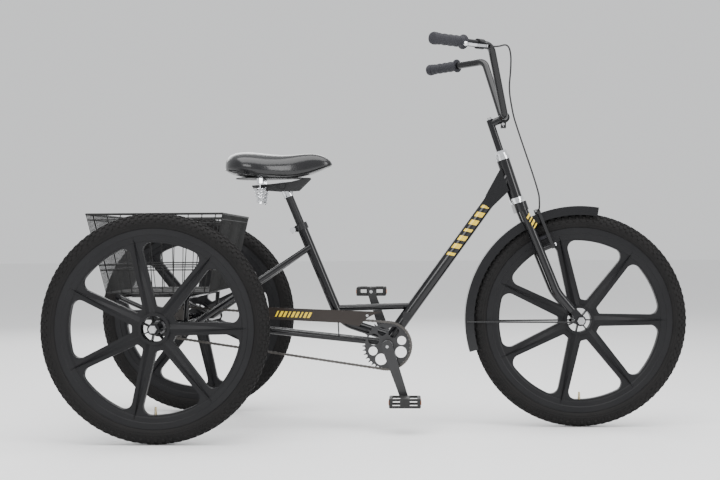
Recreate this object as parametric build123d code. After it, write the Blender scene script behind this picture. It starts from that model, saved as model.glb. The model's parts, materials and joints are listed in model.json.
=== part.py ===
from build123d import *
from math import asin, atan2, ceil, cos, degrees, pi, radians, sin, sqrt, tan
import os

# Adult tricycle in millimetres. +X is forward, +Y the rider's left, +Z up.
# The origin lies on the ground, midway between the front axle and the rear axles.

# Overall
wheelbase = 1247.0
rear_track = 724.0
axle_overhang = 42.0            # from a rear wheel's middle to the tip of its axle

# Clearances
running_fit = 0.05              # radial, a shaft turning or sliding in its bore
body_gap = 0.3                  # between pieces of different bodies that face each other

# Wheels
tyre_radius = 330.0
tyre_width = 54.0
tyre_casing = 4.5
rim_flange_depth = 44.0         # tyre's outside down to the rim flange
rim_width = 34.0
rim_wall = 4.0
rim_depth = 36.0
spoke_count = 7
spoke_root_width = 40.0
spoke_tip_width = 27.0
web_thickness = 22.0
hub_ring_radius = 46.0
hub_ring_wall = 9.0
hub_barrel_radius = 17.0
hub_fin = 3.0
hub_inner_reach = 38.0
hub_outer_reach = 28.0
front_hub_half = 46.0

# Axles
rear_axle_radius = 8.5
rear_axle_end_gap = 8.0         # from the middle plane to the inner tip of each axle
axle_shoulder = 3.5
front_axle_radius = 5.0
front_dropout_half = 50.0
front_dropout = 5.0
stay_eye = 3.0
axle_nut_height = 9.0
axle_nut_size = 24.0

# Drive
chain_pitch = 12.7
chain_links = 134
chainring_teeth = 36
axle_sprocket_teeth = 24
chain_y = -50.0
roller_radius = 3.9
roller_width = 5.2
chain_plate = 1.0
chain_plate_height = 8.6
sprocket_thickness = 3.0
bottom_bracket_drop = 75.0
shell_radius = 22.5
shell_half = 36.5
spindle_radius = 8.5
crank_length = 170.0
crank_angle = -71.6             # right crank from +X towards +Z, at rest
crank_thickness = 14.0
crank_inner_y = 80.0
pedal_axle_radius = 5.0
pedal_length = 95.0
pedal_width = 90.0
pedal_height = 28.0

# Frame tubes
head_tube_radius = 20.0
head_tube_length = 124.0
cup_height = 11.0
race_height = 6.5
head_tube_bore = 16.0
head_angle = 18.0               # steering axis back from the vertical
down_tube_radius = 19.0
seat_tube_radius = 15.9
bridge_radius = 10.0
stay_radius = 9.5
cross_tube_radius = 16.0
tube_wall = 2.0
seat_angle = 22.4               # seat tube back from the vertical
seat_tube_straight = 327.0       # from the corner of its bend to its top
seat_tube_bend = 95.0
seat_corner_back = 146.0        # corner of the bend behind the bottom bracket
seat_corner_up = 75.0
seat_stay_below_top = 78.0
seat_stay_spread = 130.0
chainstay_y = 26.0
bridge_up_seat_tube = 42.0
bridge_up_down_tube = 149.0
cross_tube_ahead = 74.0         # cross tube in front of the rear axle
bearing_plate_y = 300.0
inner_plate_y = 22.0
bearing_plate = 8.0
bearing_radius = 20.0
bearing_width = 12.0

# Fork
steerer_radius = 12.7
blade_radius = 14.0
blade_y = 48.0
crown_above_tyre = 63.5
crown_angle = 117.5             # crown seen from the front axle, from +X towards +Z
crown_height = 28.0
blade_knee_drop = 285.0
blade_knee_bend = 110.0
blade_tip_back = 25.0           # blade's end behind and above the front axle
blade_tip_up = 31.0
blade_slope_angle = 21.8
fender_gap = 20.0
fender_width = 60.0
fender_sheet = 1.6
fender_front_angle = 80.0
fender_rear_angle = 196.0
brake_boss_below_flange = 41.0  # brake pivot nearer the axle than the rim's flange
brake_boss_angle = 109.9        # brake pivot seen from the axle
brake_boss_y = 40.0
brake_arm_length = 116.0
brake_stud_radius = 4.0
pad_gap = 3.0

# Handlebar
quill_radius = 11.1
quill_rise = 89.0
quill_inside = 75.0
stem_reach = 43.0
stem_lift = 5.0
bar_radius = 11.1
bar_wall = 2.0
bar_clamp_half = 24.0
bar_rise = 200.0
bar_corner_y = 165.0
bar_end_y = 330.0
bar_sweep = 175.0
bar_layback = 49.0
grip_length = 125.0
grip_radius = 16.5

# Seat
seat_post_radius = 12.7
seat_post_show = 113.0
seat_post_inside = 125.0
saddle_width = 250.0
saddle_spring_y = 60.0
saddle_bolt_radius = 4.0

# Basket
basket_depth = 407.0
basket_bottom_depth = 312.0
basket_height = 237.0
basket_wheel_gap = 44.0
basket_taper = 45.0
basket_wall = 3.0
basket_above_axle = 95.0
basket_front_ahead = 187.5      # basket's top front edge in front of the rear axle

front_x = wheelbase / 2
rear_x = -wheelbase / 2
axle_z = tyre_radius
wheel_y = rear_track / 2
axle_tip_y = wheel_y + axle_overhang
flange_radius = tyre_radius - rim_flange_depth
rim_inner_radius = flange_radius - rim_depth
STEPS = "parts"


def rod(start, end, radius, wall=None):
    """Straight round bar, or tube when a wall is given, between two points."""
    start, end = Vector(*start), Vector(*end)
    plane = Plane(origin=start, z_dir=end - start)
    length = (end - start).length
    solid = extrude(plane * Circle(radius), length)
    if wall:
        solid -= extrude(plane * Circle(radius - wall), length)
    return solid


def bent_tube(points, radii, radius, wall=None):
    """Round bar or tube along straight runs joined by tangent arcs."""
    path = FilletPolyline(*points, radius=radii)
    section = Plane(origin=path @ 0, z_dir=path % 0) * Circle(radius)
    solid = sweep(section, path=path)
    if wall:
        bore = Plane(origin=path @ 0, z_dir=path % 0) * Circle(radius - wall)
        solid -= sweep(bore, path=path)
    return solid


def across(x, z, y_low, y_high, radius):
    """Round bar along Y."""
    return rod((x, y_low, z), (x, y_high, z), radius)


def side_slab(outline, y_low, y_high):
    """A side-view sketch, drawn as X and Z, made solid between two Y values."""
    plane = Plane(origin=(0, y_high, 0), x_dir=(1, 0, 0), z_dir=(0, -1, 0))
    return extrude(plane * outline, y_high - y_low, dir=(0, -1, 0))


def lap(centre_a, radius_a, centre_b, radius_b):
    """Side-view outline that wraps two circles, a link plate or a crank arm."""
    ends = Pos(*centre_a) * Circle(radius_a) + Pos(*centre_b) * Circle(radius_b)
    return make_hull(ends.edges())


def save(name, shape):
    """Writes one node, a single solid or a group of separate solids."""
    group = shape if isinstance(shape, list) else [shape]
    solids = [solid for piece in group for solid in piece.solids()]
    shape = solids[0] if len(solids) == 1 else Compound(children=solids)
    export_step(shape, os.path.join(STEPS, name + ".step"))


# --- Drive geometry -------------------------------------------------------------------

def pitch_radius(teeth):
    return chain_pitch / (2 * sin(pi / teeth))


def chain_pitches(centre):
    """Chain length in pitches for a distance between the two axes."""
    drop = pitch_radius(chainring_teeth) - pitch_radius(axle_sprocket_teeth)
    wrap = degrees(asin(drop / centre))
    runs = 2 * sqrt(centre ** 2 - drop ** 2) / chain_pitch
    front = (180 + 2 * wrap) / 360 * chainring_teeth
    back = (180 - 2 * wrap) / 360 * axle_sprocket_teeth
    return runs + front + back


def drive_centre():
    """Distance between the axes at which the chain has a whole number of links."""
    centre = chain_links * chain_pitch / 2
    for _ in range(30):
        centre += (chain_links - chain_pitches(centre)) * chain_pitch / 2
    return centre


drive_length = drive_centre()
bracket_z = axle_z - bottom_bracket_drop
bracket_x = rear_x + sqrt(drive_length ** 2 - bottom_bracket_drop ** 2)
line_tilt = degrees(atan2(axle_z - bracket_z, rear_x - bracket_x))
wrap_angle = degrees(asin((pitch_radius(chainring_teeth) - pitch_radius(axle_sprocket_teeth))
                          / drive_length))
ring_top = line_tilt - 90 + wrap_angle          # where the upper run leaves the chainring
ring_sweep = 180 + 2 * wrap_angle
sprocket_sweep = 180 - 2 * wrap_angle


def ring_point(centre, radius, angle):
    return (centre[0] + radius * cos(radians(angle)), centre[1] + radius * sin(radians(angle)))


def roller_points():
    """Centres of all chain rollers, once round both sprockets."""
    points = []
    big, small = pitch_radius(chainring_teeth), pitch_radius(axle_sprocket_teeth)
    ring, sprocket = (bracket_x, bracket_z), (rear_x, axle_z)
    run = sqrt(drive_length ** 2 - (big - small) ** 2) / chain_pitch
    front = ring_sweep / 360 * chainring_teeth
    back = sprocket_sweep / 360 * axle_sprocket_teeth
    top_start = ring_point(ring, big, ring_top)
    top_end = ring_point(sprocket, small, ring_top)
    low_start = ring_point(sprocket, small, ring_top + sprocket_sweep)
    low_end = ring_point(ring, big, ring_top + sprocket_sweep)
    for link in range(chain_links):
        if link < run:
            share = link / run
            point = tuple(a + (b - a) * share for a, b in zip(top_start, top_end))
        elif link < run + back:
            angle = ring_top + (link - run) / axle_sprocket_teeth * 360
            point = ring_point(sprocket, small, angle)
        elif link < 2 * run + back:
            share = (link - run - back) / run
            point = tuple(a + (b - a) * share for a, b in zip(low_start, low_end))
        else:
            turned = (link - 2 * run - back) / chainring_teeth * 360
            point = ring_point(ring, big, ring_top + sprocket_sweep + turned)
        points.append(point)
    return points


run_links = sqrt(drive_length ** 2 - (pitch_radius(chainring_teeth)
                 - pitch_radius(axle_sprocket_teeth)) ** 2) / chain_pitch
chainring_phase = ring_top
sprocket_phase = ring_top + (ceil(run_links) - run_links) / axle_sprocket_teeth * 360


def toothed_disc(teeth, phase, hole_radius):
    """Flat sprocket outline about the origin, with one gap for each roller."""
    radius = pitch_radius(teeth)
    disc = Circle(radius + 5.2)
    for tooth in range(teeth):
        angle = phase + tooth * 360 / teeth
        seat = Pos(radius, 0) * Circle(roller_radius + 0.3)
        mouth = Pos(radius, 0) * Polygon((0, -4.2), (8, -7.5), (8, 7.5), (0, 4.2), align=None)
        disc -= Rot(0, 0, angle) * (seat + mouth)
    return disc - Circle(hole_radius)


def chain():
    """Roller chain: two side bands joined by the rollers and pins."""
    points = roller_points()
    half = roller_width / 2
    outline = make_hull(
        (Pos(bracket_x, bracket_z) * Circle(pitch_radius(chainring_teeth))
         + Pos(rear_x, axle_z) * Circle(pitch_radius(axle_sprocket_teeth))).edges())
    band = offset(outline, chain_plate_height / 2) - offset(outline, -chain_plate_height / 2)
    loop = side_slab(band, chain_y + half, chain_y + half + chain_plate)
    loop += side_slab(band, chain_y - half - chain_plate, chain_y - half)
    rollers = [across(x, z, chain_y - half, chain_y + half, roller_radius) for x, z in points]
    return loop + rollers


# --- Wheels ---------------------------------------------------------------------------

def wheel_profile_ring():
    """Half section of the rim, as radius and width, turned about the axle."""
    half = rim_width / 2
    outer, inner = flange_radius, rim_inner_radius
    bed = outer - 7
    right = [(inner, 0), (inner, half - 5), (inner + 4, half - 3), (outer - 20, half - 2),
             (outer - 17, half), (outer - 1, half), (outer, half - 1), (outer, half - rim_wall),
             (bed, half - rim_wall), (bed - 4, half - 9), (bed - 4, 0)]
    left = [(r, -y) for r, y in reversed(right[1:-1])]
    return Polygon(*(right + left), align=None)


def spin(profile):
    """Turn a profile, drawn as radius and width, about the Y axis."""
    face = Plane(origin=(0, 0, 0), x_dir=(1, 0, 0), z_dir=(0, 0, 1)) * profile
    return revolve(face, axis=Axis.Y)


def tyre():
    """Hollow casing whose beads sit inside the rim flanges, grooved round the crown."""
    tube = tyre_width / 2
    centre = tyre_radius - tube
    section = Pos(centre, 0) * Circle(tube) - Pos(centre, 0) * Circle(tube - tyre_casing)
    section -= Pos(flange_radius - 50, 0) * Rectangle(100, 2 * tyre_width)
    hook = rim_width / 2 - rim_wall
    for side in (-1, 1):
        bead = [(flange_radius - 7, side * (hook - 4)), (flange_radius - 7, side * hook),
                (flange_radius, side * hook), (flange_radius, side * tube * 0.77),
                (flange_radius + 8, side * tube * 0.9), (flange_radius + 6, side * tube * 0.68),
                (flange_radius + 2, side * (hook - 3))]
        section += Polygon(*bead[::-side], align=None)
    for groove in (-9, 0, 9):
        section -= Pos(tyre_radius - 1, groove) * Rectangle(4, 3)
    return spin(section)


def window():
    """Opening between two spokes, about the X axis of its own sector."""
    half_angle = radians(180 / spoke_count)
    root, tip = hub_ring_radius + 18, rim_inner_radius - 21
    low = root * sin(half_angle) - spoke_root_width / 2 * cos(half_angle)
    high = (rim_inner_radius - 8) * sin(half_angle) - spoke_tip_width / 2 * cos(half_angle)
    outline = Polyline((root, -low), (tip, -high))
    outer = ThreePointArc((tip, -high), (rim_inner_radius - 5, 0), (tip, high))
    back = Polyline((tip, high), (root, low))
    inner = Polyline((root, low), (root, -low))
    face = make_face([*outline.edges(), *outer.edges(), *back.edges(), *inner.edges()])
    corners = face.vertices().sort_by(Axis.X)
    face = fillet(corners[-2:], 24)
    corners = face.vertices().sort_by(Axis.X)
    return fillet(corners[:2], min(7, low * 0.8))


def spoke_dart():
    """Raised rib down the middle of a spoke, running out to a point on the rim."""
    root, tip = hub_ring_radius - 2, flange_radius - 16
    base = web_thickness / 2 - 1
    width = spoke_root_width / 2 - 5
    near = Plane(origin=(root, 0, 0), x_dir=(0, 0, 1), z_dir=(1, 0, 0))
    far = Plane(origin=(tip, 0, 0), x_dir=(0, 0, 1), z_dir=(1, 0, 0))
    low = near * Polygon((-width, base), (width, base), (0, base + 9), align=None)
    high = far * Polygon((-1, base), (1, base), (0, rim_width / 2 - 1.2), align=None)
    return loft([low.faces()[0], high.faces()[0]], ruled=True)


def mag_wheel(bore_radius, inner_reach, outer_reach, seat_radius=None, seat_depth=0):
    """Moulded seven-spoke wheel about Y, its outer face towards -Y."""
    ring = spin(wheel_profile_ring())
    web = Circle(rim_inner_radius + 3) - Circle(hub_ring_radius - hub_ring_wall / 2)
    hole = window()
    for sector in range(spoke_count):
        web -= Rot(0, 0, (sector + 0.5) * 360 / spoke_count) * hole
    body = side_slab(web, -web_thickness / 2, web_thickness / 2) + ring
    hub_ring = Circle(hub_ring_radius) - Circle(hub_ring_radius - hub_ring_wall)
    body += side_slab(hub_ring, -19, 19)
    body += across(0, 0, -outer_reach, inner_reach, hub_barrel_radius)
    fin_reach = hub_ring_radius - hub_ring_wall / 2
    rib = spoke_dart()
    for spoke in range(spoke_count):
        turn = Rot(0, -spoke * 360 / spoke_count, 0)
        fin = Pos(fin_reach / 2, 0, 0) * Box(fin_reach, 28, hub_fin)
        body += turn * fin
        body += turn * rib
        body += turn * mirror(rib, about=Plane.XZ)
    body -= across(0, 0, -outer_reach - 1, inner_reach + 1, bore_radius)
    if seat_radius:
        body -= across(0, 0, inner_reach - seat_depth, inner_reach + 1, seat_radius)
        body -= across(0, 0, -outer_reach - 1, -outer_reach + seat_depth, seat_radius)
    return body


# --- Steering axis --------------------------------------------------------------------

crown_reach = tyre_radius + crown_above_tyre
crown_x = front_x + crown_reach * cos(radians(crown_angle))
crown_z = axle_z + crown_reach * sin(radians(crown_angle))
lean = radians(head_angle)
up_axis = Vector(-sin(lean), 0, cos(lean))
ahead_axis = Vector(cos(lean), 0, sin(lean))
head_low = crown_height / 2 + race_height + cup_height
head_top = head_low + head_tube_length
cup_top = head_top + cup_height
steerer_top = cup_top + 18
quill_top = steerer_top + quill_rise


def along(height, ahead=0.0, y=0.0):
    """A point given by its height up the steering axis and its distance in front of it."""
    point = Vector(crown_x, 0, crown_z) + up_axis * height + ahead_axis * ahead
    return (point.X, y, point.Z)


def ring_along(low, high, outer, inner):
    return rod(along(low), along(high), outer) - rod(along(low), along(high), inner)


down_joint = along(head_low + head_tube_length * 0.6)


def head_tube():
    return ring_along(head_low, head_top, head_tube_radius, head_tube_bore)


def headset_cups():
    """Bearing cups pressed into both ends of the head tube."""
    bore = steerer_radius + running_fit
    upper = ring_along(head_top, cup_top, head_tube_radius + 3, bore)
    upper += ring_along(head_top - 8, head_top, head_tube_bore, bore)
    lower = ring_along(head_low - cup_height, head_low, head_tube_radius + 3, bore)
    lower += ring_along(head_low, head_low + 8, head_tube_bore, bore)
    return [upper, lower]


def headset_races():
    """Crown race under the head tube, and the cone and locknut above it."""
    race_top = head_low - cup_height - body_gap
    crown_race = ring_along(crown_height / 2, race_top, head_tube_radius - 1, steerer_radius)
    cone = ring_along(cup_top + body_gap, cup_top + 9, head_tube_radius, steerer_radius)
    hexagon = Plane(origin=along(cup_top + 10), x_dir=ahead_axis, z_dir=up_axis)
    locknut = extrude(hexagon * RegularPolygon(head_tube_radius - 1, 6), 8)
    locknut -= rod(along(cup_top), along(cup_top + 20), steerer_radius)
    washer = ring_along(cup_top + 9, cup_top + 10, head_tube_radius - 2, steerer_radius)
    return [crown_race, cone, washer, locknut]


blade_slope = radians(blade_slope_angle)
blade_down = Vector(sin(blade_slope), 0, -cos(blade_slope))
blade_ahead = Vector(cos(blade_slope), 0, sin(blade_slope))
blade_top = along(0, 5, -blade_y)
blade_knee = tuple(Vector(*blade_top) + blade_down * blade_knee_drop)
blade_foot = (front_x - blade_tip_back, -blade_y, axle_z + blade_tip_up)
pivot_reach = flange_radius - brake_boss_below_flange
pivot_x = front_x + pivot_reach * cos(radians(brake_boss_angle))
pivot_z = axle_z + pivot_reach * sin(radians(brake_boss_angle))
right_pivot = Vector(pivot_x, -brake_boss_y, pivot_z)
arm_thickness = 9.0


def right_blade(wall=None):
    return bent_tube([blade_top, blade_knee, blade_foot], [blade_knee_bend], blade_radius, wall)


def fork_crown():
    """Crown across both blades, with the steerer brazed into it."""
    section = Plane(origin=along(-crown_height / 2, 3), x_dir=ahead_axis, z_dir=up_axis)
    outline = SlotOverall(2 * (blade_y + blade_radius + 4), 2 * (blade_radius + 6), rotation=90)
    crown = extrude(section * outline, crown_height, dir=up_axis)
    blade = right_blade()
    crown -= blade + mirror(blade, about=Plane.XZ)
    crown += rod(along(-crown_height / 2), along(steerer_top), steerer_radius)
    return crown - rod(along(-crown_height), along(steerer_top + 5), quill_radius + running_fit)


def fork_blades():
    """Both blades, each with its brazed-on brake stud and its dropout."""
    blade = right_blade(tube_wall)
    # The stud starts at the blade's middle line, level with the brake pivot.
    offset_line = Vector(*blade_top) - right_pivot
    ahead = -(offset_line.X * blade_ahead.X + offset_line.Z * blade_ahead.Z)
    root = right_pivot - blade_ahead * ahead
    collar_end = right_pivot - blade_ahead * (arm_thickness / 2 + body_gap)
    tip = right_pivot + blade_ahead * (arm_thickness / 2 + body_gap)
    stud = rod(tuple(root), tuple(collar_end), 7)
    stud += rod(tuple(root), tuple(tip), brake_stud_radius)
    stud += rod(tuple(tip), tuple(tip + blade_ahead * 4), 7)
    blade += stud - rod(blade_top, blade_knee, blade_radius - tube_wall)
    outer = -front_dropout_half - front_dropout
    outline = lap((blade_foot[0] - 6, blade_foot[2] + 12), 9, (front_x, axle_z), 15)
    plate = side_slab(outline, outer, -front_dropout_half) - right_blade(tube_wall)
    plate -= across(front_x, axle_z, outer, 0, front_axle_radius)
    blade += plate.solids().sort_by(SortBy.VOLUME)[-1]
    return [blade, mirror(blade, about=Plane.XZ)]


nut_inner_y = front_dropout_half + front_dropout + stay_eye


def front_axle():
    """Axle with a cone locknut against each dropout."""
    tip = nut_inner_y + axle_nut_height + 4
    axle = across(front_x, axle_z, -tip, tip, front_axle_radius)
    for side in (-1, 1):
        low, high = sorted((side * (front_hub_half + body_gap), side * front_dropout_half))
        axle += across(front_x, axle_z, low, high, 8)
    return axle


def axle_nut(x, z, y_low, y_high, bore_radius):
    nut = side_slab(Pos(x, z) * RegularPolygon(axle_nut_size / 2, 6), y_low, y_high)
    return nut - across(x, z, y_low, y_high, bore_radius)


def front_axle_nuts():
    nut = axle_nut(front_x, axle_z, -nut_inner_y - axle_nut_height, -nut_inner_y,
                   front_axle_radius)
    return [nut, mirror(nut, about=Plane.XZ)]


fender_inner = tyre_radius + fender_gap
fender_outer = fender_inner + fender_sheet


def front_fender():
    """Arched channel over the front wheel, with a lip down each side."""
    lip = 26.0
    skin = Pos(fender_inner + fender_sheet / 2, 0) * Rectangle(fender_sheet, fender_width)
    for side in (-1, 1):
        edge = side * (fender_width - fender_sheet) / 2
        skin += Pos(fender_inner - lip / 2, edge) * Rectangle(lip, fender_sheet)
    start = Rot(0, -fender_front_angle, 0) * skin
    turn = fender_rear_angle - fender_front_angle
    arch = revolve(start, axis=Axis((0, 0, 0), (0, -1, 0)), revolution_arc=turn)
    return Pos(front_x, 0, axle_z) * arch


def fender_stays():
    """Bracket from the crown, and a stay from each end of the axle to the rear edge."""
    outline = lap((front_x, axle_z), 10, (front_x - 20, axle_z - 4), 4)
    eye = side_slab(outline, -nut_inner_y, -nut_inner_y + stay_eye)
    start = (front_x - 19, -nut_inner_y, axle_z - 4)
    end = (front_x - fender_inner + 4, -fender_width / 2 - 2.5, axle_z - 4)
    stay = eye + rod(start, end, 2.5)
    stay -= across(front_x, axle_z, -nut_inner_y - 2, 0, front_axle_radius)
    toward = Vector(cos(radians(crown_angle)), 0, sin(radians(crown_angle)))
    low = Vector(front_x, 0, axle_z) + toward * fender_outer
    high = Vector(front_x, 0, axle_z) + toward * (crown_reach - 6)
    bracket = rod(low, high, 7) - fork_crown() - front_fender()
    bracket = bracket.solids().sort_by(SortBy.VOLUME)[-1]
    return [bracket, stay, mirror(stay, about=Plane.XZ)]


# --- Front brake ----------------------------------------------------------------------

arm_top_out = 6.0


def right_brake_arm():
    """Lever of the rim brake, standing up in front of the blade."""
    plane = Plane(origin=right_pivot + blade_ahead * arm_thickness / 2, x_dir=(0, -1, 0),
                  z_dir=-blade_ahead)
    outline = lap((0, 0), 9, (0, 38), 6) + lap((0, 38), 6, (arm_top_out, brake_arm_length), 5)
    arm = extrude(plane * outline, arm_thickness, dir=-blade_ahead)
    reach = blade_ahead * arm_thickness
    return arm - rod(right_pivot - reach, right_pivot + reach, brake_stud_radius + running_fit)


pad_radius = flange_radius - 8.5
pad_face_y = rim_width / 2 + pad_gap


def right_brake_pad():
    """Rubber block beside the rim, with the post that holds it in the arm."""
    post = right_pivot - blade_down * 36
    ray = atan2(post.Z - axle_z, post.X - 15 - front_x)
    centre = (front_x + pad_radius * cos(ray), axle_z + pad_radius * sin(ray))
    block = Pos(*centre) * (Rot(0, 0, degrees(ray) - 90) * RectangleRounded(44, 9, 3))
    pad = side_slab(block, -pad_face_y - 9, -pad_face_y)
    pad += rod((post.X, -pad_face_y - 8, post.Z - 1), (post.X, 4 - brake_boss_y, post.Z - 1), 3.2)
    return pad - right_brake_arm()


# --- Handlebar ------------------------------------------------------------------------

bar_x, _, bar_z = along(quill_top + stem_lift, stem_reach)
corner = Vector(bar_x - bar_layback, -bar_corner_y, bar_z + bar_rise)
bar_end = Vector(bar_x - bar_layback - bar_sweep, -bar_end_y, bar_z + bar_rise - 3)
grip_way = (bar_end - corner).normalized()


def stem():
    """Quill, forward extension and the clamp round the bar."""
    quill = rod(along(steerer_top - quill_inside), along(quill_top + 13), quill_radius)
    reach = rod(along(quill_top), (bar_x, 0, bar_z), 12)
    clamp = across(bar_x, bar_z, -bar_clamp_half, bar_clamp_half, bar_radius + 5.5)
    ears = Pos(bar_x - 2, 0, bar_z - 22) * Box(16, 24, 20)
    body = quill + reach + clamp + ears
    body -= across(bar_x, bar_z, -60, 60, bar_radius)
    body -= Pos(bar_x - 2, 0, bar_z - 24) * Box(40, 2.5, 26)
    return body - across(bar_x - 2, bar_z - 25, -30, 30, 3)


def handlebar():
    hub_half = bar_clamp_half + 18
    right = [tuple(bar_end), tuple(corner), (bar_x, -hub_half, bar_z)]
    left = [(x, -y, z) for x, y, z in reversed(right)]
    return bent_tube(right + left, [38, 28, 28, 38], bar_radius, bar_wall)


def grips():
    start = bar_end - grip_way * grip_length
    tip = bar_end + grip_way * 5
    grip = rod(tuple(start), tuple(tip), grip_radius)
    grip += rod(tuple(start), tuple(start + grip_way * 6), grip_radius + 5)
    grip += rod(tuple(tip - grip_way * 16), tuple(tip), grip_radius + 2)
    grip -= rod(tuple(start), tuple(bar_end), bar_radius)
    return [grip, mirror(grip, about=Plane.XZ)]


lever_at = 48.0                 # lever clamp's middle along the bar from its corner
lever_half = 4.0                # half the lever's thickness
lever_pin_radius = 2.5
lever_front = Vector(-grip_way.Y, grip_way.X, 0).normalized()
lever_out = (lever_front * 0.954 - Vector(0, 0, 0.3)).normalized()
lever_axis = grip_way.cross(lever_out).normalized()


def bar_point(run, out=0.0, rise=0.0):
    """A point beside the right bar, measured from its corner and out towards the lever."""
    point = corner + grip_way * run + lever_out * out + lever_axis * rise
    return (point.X, point.Y, point.Z)


def brake_lever_bracket():
    """Clamp round the bar, with the fork that holds the lever's pin and the cable stop."""
    clamp = rod(bar_point(lever_at - 12), bar_point(lever_at + 12), bar_radius + 4)
    arm = Plane(origin=bar_point(lever_at, 18), x_dir=grip_way, z_dir=lever_axis)
    body = extrude(arm * Rectangle(22, 34), 9, both=True)
    body += rod(bar_point(lever_at - 10, 25), bar_point(lever_at - 24, 25), 5)
    body += clamp
    slot = extrude(arm * (Pos(6, 12) * Rectangle(30, 22)), lever_half + body_gap, both=True)
    body -= slot
    body -= rod(bar_point(lever_at - 40), bar_point(lever_at + 40), bar_radius)
    return body + rod(bar_point(lever_at, 27, -9), bar_point(lever_at, 27, 9), lever_pin_radius)


def brake_lever():
    """Curved blade with a round tip, turning on the bracket's pin."""
    plane = Plane(origin=bar_point(lever_at, 27, -lever_half), x_dir=grip_way, z_dir=lever_axis)
    strip = Polygon((2, -4.5), (20, 0), (60, 12.5), (98, 11.8), (98, 18.2), (58, 19.5), (14, 10),
                    (-3, 4), align=None)
    outline = strip + Circle(6) + Pos(98, 15) * Circle(6.5)
    blade = extrude(plane * outline, 2 * lever_half, dir=lever_axis)
    reach = 2 * lever_half
    return blade - rod(bar_point(lever_at, 27, -reach), bar_point(lever_at, 27, reach),
                       lever_pin_radius + running_fit)


def corner_radii(points):
    """Largest smooth bend at each corner of a cable's route."""
    radii = []
    for before, here, after in zip(points, points[1:], points[2:]):
        first, second = Vector(*here) - Vector(*before), Vector(*after) - Vector(*here)
        turn = radians(first.get_angle(second))
        radii.append(0.45 * min(first.length, second.length) / tan(turn / 2))
    return radii


def brake_cable():
    """Outer cable from the lever's stop, past the stem, to the right brake arm's head."""
    head = right_pivot - blade_down * brake_arm_length
    head_y = head.Y - arm_top_out - 5 - body_gap
    route = [
        bar_point(lever_at - 24, 25),
        bar_point(lever_at - 50, 25),
        along(475, 108, -148),
        along(448, 112, -130),
        along(401, 97, -115),
        along(350, 75, -98),
        along(294, 69, -66),
        along(253, 67, -45),
        (head.X - 4, head_y - 48, head.Z + 58),
        (head.X - 1, head_y - 44, head.Z + 22),
        (head.X, head_y - 22, head.Z + 2),
        (head.X, head_y, head.Z),
    ]
    radii = corner_radii(route)
    print("brake cable bends", [round(r) for r in radii])
    return bent_tube(route, radii, 2.5)


# --- Frame ----------------------------------------------------------------------------

seat_lean = radians(seat_angle)
seat_up = Vector(-sin(seat_lean), 0, cos(seat_lean))
seat_ahead = Vector(cos(seat_lean), 0, sin(seat_lean))
seat_corner = Vector(bracket_x - seat_corner_back, 0, bracket_z + seat_corner_up)
seat_top = seat_corner + seat_up * seat_tube_straight
down_foot = Vector(bracket_x - 6, 0, bracket_z)
down_way = (Vector(*down_joint) - down_foot).normalized()
cross_x = rear_x + cross_tube_ahead


def down_tube():
    tube = rod(down_foot, down_joint, down_tube_radius, tube_wall)
    tube -= rod(along(head_low - 20), along(head_top + 20), head_tube_radius)
    return tube - across(bracket_x, bracket_z, -60, 60, shell_radius)


def down_tube_run():
    return rod(down_foot, down_joint, down_tube_radius)


def seat_tube_run(wall=None):
    foot = (bracket_x + 8, 0, bracket_z + 24)
    points = [tuple(seat_top), tuple(seat_corner), foot]
    return bent_tube(points, [seat_tube_bend], seat_tube_radius, wall)


def seat_tube():
    """Tube that takes the post and sweeps forward into the bottom bracket."""
    tube = seat_tube_run(seat_tube_radius - seat_post_radius - running_fit)
    tube -= down_tube_run()
    tube -= across(bracket_x, bracket_z, -60, 60, shell_radius)
    return tube.solids().sort_by(SortBy.VOLUME)[-1]


def bridge_tube():
    start = seat_corner + seat_up * bridge_up_seat_tube
    end = down_foot + down_way * bridge_up_down_tube
    tube = rod(tuple(start), tuple(end), bridge_radius, tube_wall)
    return tube - seat_tube_run() - down_tube_run()


def head_gusset():
    """Folded plate over both cheeks of the joint between head tube and down tube."""
    a = along(head_low + head_tube_length * 0.80, -head_tube_radius * 0.9)
    b = along(head_low + head_tube_length * 0.22, -head_tube_radius * 0.7)
    low = Vector(*down_joint) - down_way * 118
    side = Vector(-down_way.Z, 0, down_way.X)
    c, d = low - side * 16, low + side * 16
    outline = Polygon((a[0], a[2]), (b[0], b[2]), (c.X, c.Z), (d.X, d.Z), align=None)
    plate = side_slab(outline, -head_tube_radius - 2.5, head_tube_radius + 2.5)
    plate -= side_slab(outline, -down_tube_radius, down_tube_radius)
    plate -= rod(along(head_low), along(head_top), head_tube_radius)
    plate -= down_tube_run()
    return [s for s in plate.solids() if s.volume > 500]


def bottom_bracket_shell():
    shell = across(bracket_x, bracket_z, -shell_half, shell_half, shell_radius)
    return shell - across(bracket_x, bracket_z, -shell_half, shell_half, shell_radius - 3.5)


def bottom_bracket_cups():
    cup = across(bracket_x, bracket_z, -shell_half, -shell_half + 11, shell_radius - 3.5)
    cup += across(bracket_x, bracket_z, -shell_half - 4, -shell_half, shell_radius + 1)
    cup -= across(bracket_x, bracket_z, -shell_half - 4, 0, spindle_radius + running_fit)
    return [cup, mirror(cup, about=Plane.XZ)]


def chainstays():
    stay = rod((bracket_x, -chainstay_y, bracket_z + 6), (cross_x, -chainstay_y, axle_z - 6),
               stay_radius, tube_wall)
    stay -= across(bracket_x, bracket_z, -60, 60, shell_radius)
    stay -= across(cross_x, axle_z, -60, 60, cross_tube_radius)
    stay -= bearing_plate_at(-inner_plate_y, 1)
    stay = stay.solids().sort_by(SortBy.VOLUME)[-1]
    return [stay, mirror(stay, about=Plane.XZ)]


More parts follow.
